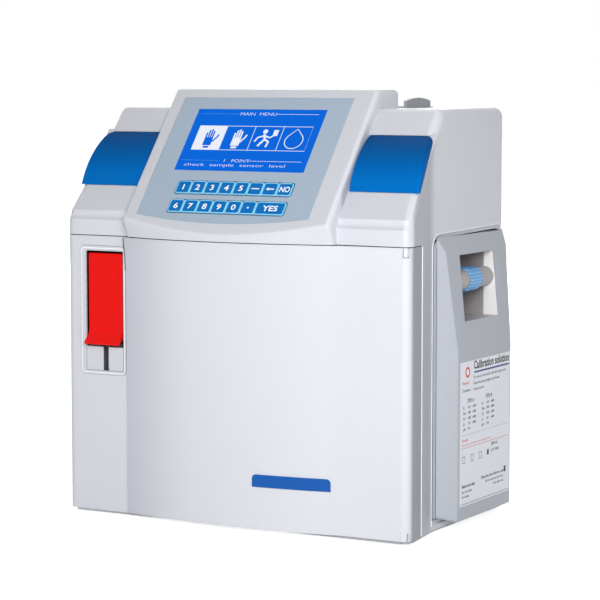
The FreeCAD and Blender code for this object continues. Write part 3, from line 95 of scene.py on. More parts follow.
# A point of the console's face: its origin, and u across, s up and w out of it.
def onFace(u, s, w):
    u, s, w = np.broadcast_arrays(np.asarray(u, float), s, w)
    origin = np.array([0, face["y"], face["z"]])
    across = np.array([1, 0, 0])
    return place(origin + u[..., None] * across + s[..., None] * faceUp + w[..., None] * faceOut)


# Screen colour in 0 to 255 as the colour a material takes.
def linear(red, green, blue):
    share = np.array([red, green, blue]) / 255
    low = share / 12.92
    high = ((share + 0.055) / 1.055) ** 2.4
    return tuple(np.where(share <= 0.04045, low, high)) + (1.0,)


# Give a socket a value, or link the output that feeds it.
def feed(tree, value, socket):
    if isinstance(value, bpy.types.NodeSocket):
        tree.links.new(value, socket)
    else:
        socket.default_value = value


# One step of arithmetic on outputs and values.
def calculate(tree, operation, *values):
    step = tree.nodes.new("ShaderNodeMath")
    step.operation = operation
    for value, socket in zip(values, step.inputs):
        feed(tree, value, socket)
    return step.outputs[0]


# A value that goes from the first to the last while a measure goes from its start to its end.
def mapSpan(tree, measure, start, end, first=0.0, last=1.0, smooth=False):
    span = tree.nodes.new("ShaderNodeMapRange")
    if smooth:
        span.interpolation_type = "SMOOTHSTEP"
    for name, value in (("Value", measure), ("From Min", start), ("From Max", end),
                        ("To Min", first), ("To Max", last)):
        feed(tree, value, span.inputs[name])
    return span.outputs["Result"]


# The object coordinates or the normal of a point, split into X, Y and Z.
def axes(tree, name="Object"):
    where = tree.nodes.new("ShaderNodeTexCoord")
    split = tree.nodes.new("ShaderNodeSeparateXYZ")
    tree.links.new(where.outputs[name], split.inputs[0])
    return split.outputs


# A mix of two colours by a share, joined to a socket.
def mixColours(tree, share, first, second, target):
    mix = tree.nodes.new("ShaderNodeMix")
    mix.data_type = "RGBA"
    for name, value in (("Factor", share), ("A", first), ("B", second)):
        feed(tree, value, mix.inputs[name])
    tree.links.new(mix.outputs["Result"], target)


# Fine moulded grain: noise on object coordinates becomes a bumped normal and a faint mottle of roughness.
def grainGroup():
    group = bpy.data.node_groups.new("mouldedGrain", "ShaderNodeTree")
    for name, value in (("Scale", 900), ("Depth", 0.1), ("Roughness", 0.4), ("Spread", 0.06)):
        socket = group.interface.new_socket(name=name, in_out="INPUT", socket_type="NodeSocketFloat")
        socket.default_value = value
    group.interface.new_socket(name="Normal", in_out="OUTPUT", socket_type="NodeSocketVector")
    group.interface.new_socket(name="Roughness", in_out="OUTPUT", socket_type="NodeSocketFloat")
    given = group.nodes.new("NodeGroupInput").outputs
    result = group.nodes.new("NodeGroupOutput").inputs
    where = group.nodes.new("ShaderNodeTexCoord").outputs["Object"]
    noises = []
    for scale in (given["Scale"], 14):  # fine for the normal, broad for the roughness
        noise = group.nodes.new("ShaderNodeTexNoise")
        for name, value in (("Vector", where), ("Scale", scale), ("Detail", 2)):
            feed(group, value, noise.inputs[name])
        noises.append(noise.outputs["Fac"])
    bump = group.nodes.new("ShaderNodeBump")
    for name, value in (("Distance", 0.00005), ("Height", noises[0]), ("Strength", given["Depth"])):
        feed(group, value, bump.inputs[name])
    centred = calculate(group, "SUBTRACT", noises[1], 0.5)
    feed(group, bump.outputs["Normal"], result["Normal"])
    mottle = calculate(group, "MULTIPLY_ADD", centred, given["Spread"], given["Roughness"])
    feed(group, mottle, result["Roughness"])
    return group


# Mask for painted shade: it rises from 0 to 1 over a width behind a depth of the frame, where the point lies
# above a height.
def paintedShadeGroup():
    group = bpy.data.node_groups.new("paintedShadeMask", "ShaderNodeTree")
    for name in ("Behind", "Above", "Width"):
        group.interface.new_socket(name=name, in_out="INPUT", socket_type="NodeSocketFloat")
    group.interface.new_socket(name="Mask", in_out="OUTPUT", socket_type="NodeSocketFloat")
    given = group.nodes.new("NodeGroupInput").outputs
    result = group.nodes.new("NodeGroupOutput").inputs
    at = axes(group)
    over = calculate(group, "GREATER_THAN", at["Z"], given["Above"])
    end = calculate(group, "ADD", given["Behind"], given["Width"])
    behind = mapSpan(group, at["Y"], given["Behind"], end, smooth=True)
    feed(group, calculate(group, "MULTIPLY", over, behind), result["Mask"])
    return group


grain = grainGroup()
paintedShade = paintedShadeGroup()


# A Principled finish. A depth above zero adds the moulded grain.
def finish(name, colour, roughness=0.45, depth=0.0, scale=900, **more):
    material = bpy.data.materials.new(name)
    material.use_nodes = True
    tree = material.node_tree
    shader = tree.nodes["Principled BSDF"]
    shader.inputs["Base Color"].default_value = colour
    shader.inputs["Roughness"].default_value = roughness
    for socket, value in more.items():
        shader.inputs[socket.replace("_", " ")].default_value = value
    if depth > 0:
        texture = tree.nodes.new("ShaderNodeGroup")
        texture.node_tree = grain
        for socket, value in (("Scale", scale), ("Depth", depth), ("Roughness", roughness)):
            texture.inputs[socket].default_value = value
        for socket in ("Normal", "Roughness"):
            tree.links.new(texture.outputs[socket], shader.inputs[socket])
    return material


# Finishes
housingColour = linear(212, 214, 220)
recessShadeColour = linear(150, 146, 146)
paint = {
    "housing": finish("housingGrey", housingColour, 0.42, 0.2),
    "pack": finish("packGrey", linear(178, 182, 190), 0.5, 0.25),
    "liner": finish("linerGrey", linear(120, 124, 130), 0.6, 0.2),
    "badge": finish("badgeBlue", linear(0, 84, 166), 0.45, Specular_IOR_Level=0.3),
    "overlay": finish("overlayFilm", linear(160, 176, 192), 0.55, 0.15, 1600),
    "keyBlue": finish("keyBlue", linear(0, 108, 182), 0.5, Specular_IOR_Level=0.12),
    "keyLine": finish("keyLine", linear(150, 226, 255), 0.5),
    "keyEdge": finish("keyEdge", linear(12, 62, 108), 0.5, Specular_IOR_Level=0.2),
    "white": finish("legendWhite", linear(246, 248, 250), 0.5),
    "lever": finish("leverRed", linear(232, 9, 4), 0.5, 0.05, Specular_IOR_Level=0.2),
    "holder": finish("holderGrey", linear(150, 153, 158), 0.5, 0.2),
    "steel": finish("brightSteel", linear(190, 192, 196), 0.25, Metallic=1.0),
    "sheet": finish("sheetMetal", linear(166, 168, 173), 0.5, 0.2, Metallic=0.2),
    "dark": finish("darkPlastic", linear(26, 27, 30), 0.5, 0.2),
    "board": finish("boardGreen", linear(16, 84, 48), 0.45),
    "rubber": finish("footRubber", linear(34, 34, 36), 0.8, 0.3),
    "tube": finish("tubeClear", linear(232, 206, 150), 0.3, Transmission_Weight=0.3),
    "electrode": finish("electrodeShell", linear(222, 228, 232), 0.25, Coat_Weight=0.3),
    "pump": finish("pumpGrey", linear(88, 92, 98), 0.5, 0.2),
    "rotor": finish("rotorLight", linear(206, 209, 214), 0.45, 0.15),
    "acrylic": finish("acrylicClear", linear(214, 226, 232), 0.15, Transmission_Weight=0.35, Coat_Weight=0.3),
    "paper": finish("paperWhite", linear(240, 240, 236), 0.9),
    "print": finish("printGrey", linear(34, 36, 46), 0.6),
    "printDark": finish("printDark", linear(30, 32, 40), 0.6),
    "printRed": finish("printRed", linear(214, 60, 66), 0.6),
    "printBlue": finish("printBlue", linear(40, 62, 130), 0.6),
    # Painted highlight: near-white for beads and bands that stand for light caught on rounded edges
    "lip": finish("lipWhite", linear(246, 247, 250), 0.4),
    "needleGrey": finish("needleGrey", linear(196, 198, 204), 0.35),
    # Painted shade: a darker grey in the groove behind the needle
    "grooveShadeGrey": finish("grooveShadeGrey", linear(84, 86, 94), 0.6),
    "barGrey": finish("barGrey", linear(174, 168, 167), 0.5, 0.2),
    # Painted shade: the back and roof of the recess behind the pack's bar
    "recessShadeGrey": finish("recessShadeGrey", recessShadeColour, 0.5, 0.2),
    "ledgeGrey": finish("ledgeGrey", linear(184, 183, 190), 0.5, 0.2),
    # Painted shade: a near-black finish for strips, rods and crosses set where only shade falls in gaps, seams
    # and slots
    "gap": finish("paintedGapShade", linear(30, 31, 38), 0.8, Specular_IOR_Level=0.1),
    # Painted shade: fine grey lines round the sampler's frame and its opening
    "edgeShadeLine": finish("edgeShadeLine", linear(112, 115, 124), 0.6),
    "label": finish("labelPaper", linear(238, 240, 246), 0.55),
    "bandBlue": finish("bandBlue", linear(30, 96, 190)),
    "bandGreen": finish("bandGreen", linear(40, 150, 90)),
    "bandAmber": finish("bandAmber", linear(230, 150, 40)),
    "bandGrey": finish("bandGrey", linear(120, 124, 132)),
}


# The socket that takes the colour of a finish.
def baseColour(material):
    return material.node_tree.nodes["Principled BSDF"].inputs["Base Color"]


# The first mix of two colours in a finish, if it has one.
def firstMix(material):
    return next((node for node in material.node_tree.nodes if node.type == "MIX"), None)


# A back-lit finish of the display: dark by itself, so that its colour comes from its own light.
def litFinish(name, colour, strength):
    material = finish(name, linear(2, 6, 16), 0.5, Specular_IOR_Level=0.02)
    shader = material.node_tree.nodes["Principled BSDF"]
    shader.inputs["Emission Color"].default_value = colour
    shader.inputs["Emission Strength"].default_value = strength
    return material


# A finish with painted shade: it turns to the shade colour over a width behind a depth and above a height of the
# drawing.
def paintedShadeFinish(name, colour, shadeColour, behind, above, width):
    material = finish(name, colour, 0.42, 0.2)
    mask = material.node_tree.nodes.new("ShaderNodeGroup")
    mask.node_tree = paintedShade
    limit = place((0, behind, above))
    for socket, value in (("Behind", limit[1]), ("Above", limit[2]), ("Width", width / perMetre)):
        mask.inputs[socket].default_value = value
    mixColours(material.node_tree, mask.outputs["Mask"], colour, shadeColour, baseColour(material))
    return material


# Painted shade on the flank: where its tone sets in behind its front edge, the turn to the side it takes, and
# its fade at the rear
flankShade = {"above": -50, "onset": 6, "turn": (0.75, 0.95), "fade": 16}


# The housing finish, with a darker tone of painted shade where the surface looks to the right between two
# depths.
def shadedFlankFinish(name, tone, front, rear):
    material = paintedShadeFinish(name, housingColour, tone, front, flankShade["above"], flankShade["onset"])
    tree = material.node_tree
    share = firstMix(material).inputs["Factor"]
    ahead = share.links[0].from_socket
    side = mapSpan(tree, axes(tree, "Normal")["X"], *flankShade["turn"])
    start, end = place([(0, rear, 0), (0, rear + flankShade["fade"], 0)])[:, 1]
    fade = mapSpan(tree, axes(tree)["Y"], start, end, 1.0, 0.0)
    feed(tree, calculate(tree, "MULTIPLY", calculate(tree, "MULTIPLY", ahead, side), fade), share)
    return material


# Painted shading: join a fade from an edge colour to a plain one, between two places across, to a finish or its
# first mix.
def paintedShadingFade(material, edge, colour, start, end):
    tree = material.node_tree
    mix = firstMix(material)
    target = mix.inputs["A"] if mix else baseColour(material)
    share = mapSpan(tree, axes(tree)["X"], place((start, 0, 0))[0], place((end, 0, 0))[0], smooth=True)
    mixColours(tree, share, edge, colour, target)
    return material


# Painted shade: join to the first mix of a finish one colour, and another, darker tone where the surface looks
# along a direction.
def tiltShade(material, colour, tone, direction, start, end):
    tree = material.node_tree
    target = firstMix(material).inputs["A"]
    along = tree.nodes.new("ShaderNodeVectorMath")
    along.operation = "DOT_PRODUCT"
    feed(tree, tree.nodes.new("ShaderNodeTexCoord").outputs["Normal"], along.inputs[0])
    feed(tree, direction, along.inputs[1])
    mixColours(tree, mapSpan(tree, along.outputs["Value"], start, end), colour, tone, target)


# A finish of painted shade that goes from one colour at a height of the drawing to a darker one at a greater
# height.
def shadeFadeFinish(name, low, high, bottom, top):
    material = finish(name, low, 0.5, 0.1, Specular_IOR_Level=0.04)
    tree = material.node_tree
    share = mapSpan(tree, axes(tree)["Z"], place((0, 0, bottom))[2], place((0, 0, top))[2])
    mixColours(tree, share, low, high, baseColour(material))
    return material


# Rows of diamonds: the product of the sines of y + z and of y - z, darker where it is well above zero.
def dimpleFinish(name, colour, dark, pitch):
    material = finish(name, colour, 0.5)
    tree = material.node_tree
    at = axes(tree)
    waves = []
    for operation in ("ADD", "SUBTRACT"):
        slanted = calculate(tree, operation, at["Y"], at["Z"])
        waves.append(calculate(tree, "SINE", calculate(tree, "MULTIPLY", slanted, math.pi * perMetre / pitch)))
    share = mapSpan(tree, calculate(tree, "MULTIPLY", *waves), 0.1, 0.5)
    mixColours(tree, share, colour, dark, baseColour(material))
    return material


# Painted shade: the sampler's recess turns near black behind the face of its frame, above the ledge.
paint["sampler"] = paintedShadeFinish("samplerRecessShade", linear(208, 210, 216), linear(6, 6, 8), 0.0, 158.4, 0.5)
# Painted shade: the door's and the hood's faces that look to the right take darker tones.
paint["door"] = shadedFlankFinish("doorGreyShaded", linear(146, 148, 158), 3, 60)
# Painted shade: the door darkens toward its left edge.
paintedShadingFade(paint["door"], linear(194, 197, 206), linear(216, 218, 223), -130, -30)
paint["hood"] = shadedFlankFinish("hoodGreyShaded", linear(176, 178, 186), 6, 50)
# Painted shade: the hood's sloping face is a little darker.
tiltShade(paint["hood"], housingColour, linear(200, 202, 208), tuple(faceOut), 0.94, 0.995)
paint["clip"] = dimpleFinish("clipBlue", linear(126, 184, 232), linear(66, 136, 206), 3.0)
# Painted shade: the inlays darken toward their tops.
paint["inlay"] = shadeFadeFinish("inlayBlueShaded", linear(0, 106, 186), linear(0, 66, 124), 322, 362)
paint["screen"] = litFinish("screenBlue", linear(0, 102, 220), 0.98)
paint["pixel"] = litFinish("screenWhite", linear(238, 244, 255), 0.95)
paint["pixelFaint"] = litFinish("screenFaint", linear(90, 165, 240), 0.8)
print("finishes made")


smooth = {"angle": 32, "merge": 0.00001}  # degrees between faces that read as round, metres for a merge


# A merged, smoothly shaded copy of a CAD node, so that its rounded edges read as round.
def smoothCopy(node, material):
    source = frame["nodes"][node]
    copy = source.copy()
    copy.data = source.data.copy()
    copy.name = node + "Skin"
    bpy.context.scene.collection.objects.link(copy)
    copy.parent = None
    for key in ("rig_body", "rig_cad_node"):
        if key in copy:
            del copy[key]
    bpy.ops.object.select_all(action="DESELECT")
    bpy.context.view_layer.objects.active = copy
    copy.select_set(True)
    bpy.ops.object.mode_set(mode="EDIT")
    bpy.ops.mesh.select_all(action="SELECT")
    bpy.ops.mesh.remove_doubles(threshold=smooth["merge"])
    bpy.ops.object.mode_set(mode="OBJECT")
    bpy.ops.mesh.customdata_custom_splitnormals_clear()
    bpy.ops.object.shade_smooth_by_angle(angle=math.radians(smooth["angle"]))
    copy.data.materials.clear()
    copy.data.materials.append(material)
    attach(copy, source["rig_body"])
    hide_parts(node)
    return copy


skins = {
    "hood": ["top_cover"],
    "door": ["front_door"],
    "housing": ["left_panel"],
    "sampler": ["sampler_bezel"],
    "pack": ["pack_cover", "pack_tray"],
    "liner": ["pack_bay"],
    "inlay": ["left_inlay", "right_inlay"],
    "badge": ["badge_plate"],
    "overlay": ["keypad_overlay"],
    "keyBlue": [name for name in frame["nodes"] if name.startswith("key_")],
    "screen": ["display_window"],
    "dark": ["needle_holder", "display_module", "power_inlet", "power_switch", "door_magnet", "printer"],
    "lever": ["sampler_lever"],
    "holder": ["electrode_carrier", "roll_holder"],
    "steel": ["sample_needle", "lever_pin", "pivot_pins", "pump_motor", "paper_axle"],
    "sheet": ["base_tray", "rear_panel", "chassis_plate", "power_supply"],
    "board": ["main_board"],
    "rubber": ["feet"],
    "tube": ["tubing"],
    "electrode": ["sodium_electrode", "potassium_electrode", "chloride_electrode", "reference_electrode"],
    "pump": ["pump_housing"],
    "rotor": ["pump_rotor", "pump_roller_1", "pump_roller_2", "pump_roller_3"],
    "acrylic": ["valve_block"],
    "paper": ["paper_roll"],
    "clip": ["pack_clip"],
}
skin = {node: smoothCopy(node, paint[name]) for name, nodes in skins.items() for node in nodes}
print("skins made")


# A new piece from an array of points and a list of faces, on its body.
def makeMesh(name, vertices, faces, material, body):
    mesh = bpy.data.meshes.new(name)
    mesh.from_pydata(vertices.tolist(), [], faces)
    mesh.materials.append(material)
    thing = bpy.data.objects.new(name, mesh)
    bpy.context.scene.collection.objects.link(thing)
    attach(thing, body)


# Faces of a grid of points, row by row.
def gridFaces(rows, columns):
    first = np.arange(rows - 1)[:, None] * columns + np.arange(columns - 1)[None, :]
    return np.stack([first, first + 1, first + columns + 1, first + columns], -1).reshape(-1, 4).tolist()


# Flat stroke: each point of a line moves half the width to either side, along the mean normal there.
def ribbon(points, width, closed=False):
    line = np.asarray(points, float)
    if closed:
        before, after = np.roll(line, 1, 0), np.roll(line, -1, 0)
    else:
        before = np.vstack([line[:1], line[:-1]])
        after = np.vstack([line[1:], line[-1:]])
    run = after - before
    run = run / np.linalg.norm(run, axis=1)[:, None]
    side = np.stack([-run[:, 1], run[:, 0]], 1) * width / 2
    outline = np.vstack([line + side, line - side])
    count = len(line)
    first = np.arange(count if closed else count - 1)
    then = (first + 1) % count
    faces = np.stack([first + count, then + count, then, first], 1)
    return outline, faces.tolist()


# Flat disc: points at even turns round a centre.
def disc(centre, radius, count=24):
    turn = np.linspace(0, 2 * math.pi, count, endpoint=False)
    points = np.stack([centre[0] + radius * np.cos(turn), centre[1] + radius * np.sin(turn)], 1)
    return points, [list(range(count))]


# Flat rectangle between four limits.
def bar(left, right, low, high):
    return np.array([(left, low), (right, low), (right, high), (left, high)], float), [[0, 1, 2, 3]]


# Several flat shapes as one list of corners and faces.
def gather(shapes):
    corners, faces, start = [], [], 0
    for outline, shapeFaces in shapes:
        corners.append(outline)
        faces += [[index + start for index in loop] for loop in shapeFaces]
        start += len(outline)
    return np.vstack(corners), faces


cornerSteps = {"loop": 6, "bay": 8}


# Corner points of a rectangle with round corners, anticlockwise.
def roundedLoop(left, right, low, high, radius):
    points = []
    for x, y, start in ((right - radius, low + radius, -90), (right - radius, high - radius, 0),
                        (left + radius, high - radius, 90), (left + radius, low + radius, 180)):
        turn = np.radians(np.linspace(start, start + 90, cornerSteps["loop"]))
        points.append(np.stack([x + radius * np.cos(turn), y + radius * np.sin(turn)], 1))
    return np.vstack(points)


# A flat print on the face of the console, at a height over its origin.
def facePrint(name, shapes, height, material, body="housing"):
    corners, faces = gather(shapes)
    makeMesh(name, onFace(corners[:, 0], corners[:, 1], height), faces, material, body)


# Flat points of an upright plane that faces the front or the rear, at a depth of the drawing.
def atDepth(flat, depth):
    return place(np.stack([flat[:, 0], np.full(len(flat), float(depth)), flat[:, 1]], 1))


# A flat print that faces the front at a depth of the drawing.
def frontPrint(name, shapes, depth, material):
    corners, faces = gather(shapes)
    makeMesh(name, atDepth(corners, depth), faces, material, "housing")


capitalShare = 0.72  # height of a capital as a share of the lettering's size


# Plain lettering as a flat mesh, set in the middle of a point or from its left edge.
# toPlace carries its flat points onto the surface.
def lettering(name, text, centre, height, material, toPlace, body, stretch=1.0, weight=0.0, fromLeft=False):
    curve = bpy.data.curves.new(name, "FONT")
    curve.body = text
    curve.size = 1.0
    curve.offset = weight
    curve.resolution_u = 4
    thing = bpy.data.objects.new(name, curve)
    bpy.context.scene.collection.objects.link(thing)
    bpy.context.view_layer.update()
    graph = bpy.context.evaluated_depsgraph_get()
    mesh = bpy.data.meshes.new_from_object(thing.evaluated_get(graph))
    bpy.data.objects.remove(thing)
    points = np.zeros(len(mesh.vertices) * 3)
    mesh.vertices.foreach_get("co", points)
    points = points.reshape(-1, 3)[:, :2]
    low, high = points.min(0), points.max(0)
    anchor = np.array([low[0], 0]) if fromLeft else (low + high) / 2
    flat = (points - anchor) * height / capitalShare * np.array([stretch, 1]) + np.array(centre)
    mesh.vertices.foreach_set("co", toPlace(flat).ravel())
    mesh.materials.clear()
    mesh.materials.append(material)
    mesh.name = name
    piece = bpy.data.objects.new(name, mesh)
    bpy.context.scene.collection.objects.link(piece)
    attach(piece, body)


# Sampler: fine lines of painted shade round its frame and its opening, a painted highlight on the band of its
# frame, and painted shade in the groove behind the needle. Loops are left, right, low, high, radius.
sampler = {
    "frame": (-167.8, -116.2, 131.6, 254.2, 5), "frameDepth": -0.06, "line": 0.4,
    "shine": (-165.6, -117.3, 133.1, 252.0, 3), "shineDepth": -0.84, "shineWide": 0.9,
    "opening": (-160.4, -118.7, 135.5, 249.3, 1.5), "openingDepth": -0.85,
    "needle": -139.2, "groove": 3.02, "grooveDepth": 0.55, "ledge": 158.2,
}


# A fine line of painted shade just outside a loop.
def lineRound(name, loop, depth):
    left, right, low, high, radius = loop
    out = sampler["line"] / 2
    line = roundedLoop(left - out, right + out, low - out, high + out, radius)
    frontPrint(name, [ribbon(line, sampler["line"], True)], depth, paint["edgeShadeLine"])


# Faces of the frame in the groove behind the needle take a darker tone: painted shade.
def darkenGroove():
    mesh = skin["sampler_bezel"].data
    mesh.materials.append(paint["grooveShadeGrey"])
    reach = place((sampler["needle"], sampler["grooveDepth"], sampler["ledge"]))
    half = sampler["groove"] / perMetre
    for polygon in mesh.polygons:
        corners = [mesh.vertices[index].co for index in polygon.vertices]
        if all(abs(x - reach[0]) < half and y > reach[1] and z < reach[2] for x, y, z in corners):
            polygon.material_index = 1


def dressSampler():
    lineRound("bezelOutline", sampler["frame"], sampler["frameDepth"])
    # Painted highlight: a pale band on the frame.
    shine = ribbon(roundedLoop(*sampler["shine"]), sampler["shineWide"], True)
    frontPrint("bezelShine", [shine], sampler["shineDepth"], paint["lip"])
    lineRound("openingLine", sampler["opening"], sampler["openingDepth"])
    darkenGroove()
    skin["sample_needle"].data.materials[0] = paint["needleGrey"]


dressSampler()
print("sampler dressed")


# Keys: a light line inside a dark edge, and a legend
keys = {
    "shift": -1.8, "pitch": 15.5, "height": 14, "gap": 0.7, "upper": 7.2, "lower": -14.3, "print": 0.23,
    "edge": 0.75, "edgeAcross": 0.35, "edgeUp": 0.7, "edgeTurn": 2.6, "edgePrint": -0.48,
    "line": 0.8, "lineTurn": 1.9,
    "legend": 6.0, "stroke": 0.6, "wide": 1.2, "wideNo": 0.82, "weight": 0.02, "flat": 0.9,
    "upperRow": ["key_1", "key_2", "key_3", "key_4", "key_5", "key_dash", "key_back", "key_no"],
    "lowerRow": ["key_6", "key_7", "key_8", "key_9", "key_0", "key_point", "key_yes"],
    "legends": {"key_no": "NO", "key_yes": "YES"},
}


# The sides of a key, whose faces don't look out of the console, take the light tone.
def edgeFaces(node):
    mesh = skin[node].data
    mesh.materials.append(paint["keyLine"])
    for polygon in mesh.polygons:
        if np.dot(np.array(polygon.normal), faceOut) < keys["flat"]:
            polygon.material_index = 1


def dressKeys():
    half, inset = keys["height"] / 2, keys["line"] / 2
    reach, tall = keys["pitch"] * 4 + keys["edgeAcross"], half + keys["edgeUp"]
    for row, middle in (("upperRow", keys["upper"]), ("lowerRow", keys["lower"])):
        loop = roundedLoop(keys["shift"] - reach, keys["shift"] + reach, middle - tall, middle + tall,
                           keys["edgeTurn"])
        facePrint(row + "Surround", [ribbon(loop, keys["edge"], True)], keys["edgePrint"], paint["keyEdge"])
        for index, name in enumerate(keys[row]):
            spans = 2 if name == "key_yes" else 1
            left = keys["shift"] + keys["pitch"] * (index - 4) + keys["gap"] / 2
            right = left + keys["pitch"] * spans - keys["gap"]
            loop = roundedLoop(left + inset, right - inset, middle - half + inset, middle + half - inset,
                               keys["lineTurn"])
            facePrint(name + "Line", [ribbon(loop, keys["line"], True)], keys["print"], paint["keyLine"],
                      name + "_body")
            dressKey(name, (left + right) / 2, middle)


# The legend of a key: a dash, an arrow or a point drawn from flat shapes, or lettering.
def dressKey(name, u, s):
    stroke, height, body = keys["stroke"], keys["print"], name + "_body"
    head = np.array([(u - 4.4, s), (u - 1.4, s - 1.9), (u - 1.4, s + 1.9)])
    drawn = {
        "key_dash": [bar(u - 4, u + 4, s - stroke, s + stroke)],
        "key_back": [(head, [[0, 1, 2]]), bar(u - 1.4, u + 4.2, s - stroke, s + stroke)],
        "key_point": [disc((u, s), 1.0, 16)],
    }
    if name in drawn:
        facePrint(name + "Legend", drawn[name], height, paint["white"], body)
    else:
        text = keys["legends"].get(name, name[-1])
        wide = keys["wideNo"] if name == "key_no" else keys["wide"]
        lettering(name + "Legend", text, (u, s), keys["legend"], paint["white"],
                  lambda flat: onFace(flat[:, 0], flat[:, 1], height), body, wide, keys["weight"])


for name in keys["upperRow"] + keys["lowerRow"]:
    edgeFaces(name)
dressKeys()
print("keys dressed")


# Display: a ruled title line, four picture fields, and two lines of text. Rules are left, right and height.
display = {
    "height": -0.65, "handHeight": -0.62, "field": (-65.9, 56.5, 51.5, 79.5), "line": 0.6,
    "rules": ((12.8, 59.5, 94), (0.8, 58.5, 39)), "faintRules": ((-69.9, -26.2, 94), (-70.9, -30.2, 39)),
    "dash": 2.0, "dashGap": 0.5, "dashHalf": 0.25, "weight": -0.012,
    "texts": [
        ("displayTitle", "MAIN  MENU", (-7.5, 94), 3.7, 1.35),
        ("displayMode", "1   POINT", (-11, 39), 3.7, 1.3),
        ("displayNote", "check  sample  sensor  level", (-12, 33.4), 3.5, 2.0),
    ],
}


# Broken lines, as rows of short bars.
def dashes(rules):
    run, half = display["dash"], display["dashHalf"]
    shapes = []
    for left, right, height in rules:
        count = int((right - left) / (run + display["dashGap"]))
        starts = left + (run + display["dashGap"]) * np.arange(count)
        shapes += [bar(start, start + run, height - half, height + half) for start in starts]
    return shapes


# A drop: a circle below, drawn to a point above.
def drop(u, s):
    turn = np.radians(np.linspace(140, 400, 28))
    lower = np.stack([u + 9.4 * np.cos(turn), s - 2.2 + 9.0 * np.sin(turn)], 1)
    return [ribbon(np.vstack([[(u, s + 11.4)], lower]), 0.9, True)]


# A hand with raised fingers, in blocks: palm, fingers, thumb and cuff.
def hand(u, s):
    fingers = [(u - 5 + index * 2.4, s + tall) for index, tall in enumerate((6, 9, 10, 8))]
    return [
        bar(u - 5, u + 4, s - 9, s + 0.5),
        *(bar(x, x + 1.7, s + 0.5, tip) for x, tip in fingers),
        ribbon([(u + 4, s - 5), (u + 8, s + 1), (u + 9, s + 4)], 1.8),
        bar(u - 3.5, u + 2.5, s - 12, s - 9.8),
    ]


# A small figure with a flask, in strokes: head, back and leg, other leg, two arms and the flask.
def figure(u, s):
    return [
        disc((u - 3, s + 8), 2.6, 16),
        ribbon([(u - 3, s + 5), (u - 1, s - 1), (u - 6, s - 9)], 2.4),
        ribbon([(u - 1, s - 1), (u + 4, s - 4), (u + 3, s - 10)], 2.2),
        ribbon([(u - 2.5, s + 3), (u + 4, s + 1), (u + 8, s + 4)], 1.8),
        ribbon([(u - 3, s + 3), (u - 9, s + 1), (u - 11, s - 4)], 1.8),
        bar(u + 6, u + 11, s + 3, s + 10),
    ]


def dressDisplay():
    height, line = display["height"], display["line"]
    left, right, low, high = display["field"]
    step, middle = (right - left) / 4, (low + high) / 2
    facePrint("displayFaint", dashes(display["faintRules"]), height, paint["pixelFaint"])
    shapes = dashes(display["rules"])
    shapes.append(ribbon([(left, low), (right, low), (right, high), (left, high)], line, True))
    shapes += [ribbon([(left + step * index, low), (left + step * index, high)], line) for index in (2, 3)]
    shapes.append(bar(left, left + step, low, high))
    shapes += drop(left + step * 3.5, middle) + hand(left + step * 1.5, middle)
    shapes += figure(left + step * 2.5, middle)
    facePrint("displayLines", shapes, height, paint["pixel"])
    facePrint("displayHand", hand(left + step * 0.5, middle), display["handHeight"], paint["screen"])
    for name, text, centre, tall, wide in display["texts"]:
        lettering(name, text, centre, tall, paint["pixel"], lambda flat: onFace(flat[:, 0], flat[:, 1], height),
                  "housing", wide, display["weight"])


dressDisplay()
print("display dressed")


# Painted highlight on the lip and painted shade in the gaps round the opening for the reagent pack. Rods are
# name, distance out of the opening, distance into the housing, radius and finish.
bay = {
    "front": 65, "rear": 208, "low": 10, "high": 266.5, "rise": 2.5, "turn": 9,
    "half": 175.5, "bend": 72.6, "bendRadius": 90,
    "rods": (("bayLipHighlight", 5, 0, 0.55, "lip"), ("bayGapShade", 0.35, 1.25, 0.45, "gap")),
    "parting": 178.0, "partingOut": -0.55, "partingRadius": 0.22,
    "sideEdgeHighlight": [(180.75, 31.0, 1.5), (180.75, 31.0, 262.8)], "sideRadius": 0.5, "around": 8,
}


# The outline of the opening, drawn out by an amount, as depth and height.
def bayLoop(out):
    front, rear = bay["front"] - out, bay["rear"] + out
    low, high = bay["low"] - out, bay["high"] + out
    radius = bay["turn"] + out
    rearTurn = np.radians(np.linspace(0, 90, cornerSteps["bay"]))
    frontTurn = np.radians(np.linspace(90, 180, cornerSteps["bay"]))
    top = high + bay["rise"]
    return np.vstack([
        [(front, low), (rear, low)],
        np.stack([rear - radius + radius * np.cos(rearTurn), top - radius + radius * np.sin(rearTurn)], 1),
        np.stack([front + radius + radius * np.cos(frontTurn), high - radius + radius * np.sin(frontTurn)], 1),
    ])


# The side of the housing: x = half + (bend - y)^2 / 2r in front of the end of the bend.
def sideX(depth):
    return bay["half"] + np.maximum(bay["bend"] - depth, 0) ** 2 / (2 * bay["bendRadius"])


# A thin round rod: a ring round each point of a line that lies nearly in a plane of constant x.
def sweep(name, line, radius, material, body, closed=True):
    line = np.asarray(line, float)
    run = np.roll(line, -1, 0) - np.roll(line, 1, 0) if closed else np.gradient(line, axis=0)
    across = np.stack([np.zeros(len(line)), -run[:, 2], run[:, 1]], 1)
    across = across / np.linalg.norm(across, axis=1)[:, None]
    around, count = bay["around"], len(line)
    turn = np.linspace(0, 2 * math.pi, around, endpoint=False)[None, :, None]
    rings = line[:, None] + radius * (np.cos(turn) * np.array([1.0, 0, 0]) + np.sin(turn) * across[:, None])
    first = np.arange(count if closed else count - 1)[:, None]
    step = np.arange(around)[None, :]
    then, after = (first + 1) % count, (step + 1) % around
    faces = np.stack([first * around + step, then * around + step,
                      then * around + after, first * around + after], -1)
    makeMesh(name, place(rings.reshape(-1, 3)), faces.reshape(-1, 4).tolist(), material, body)


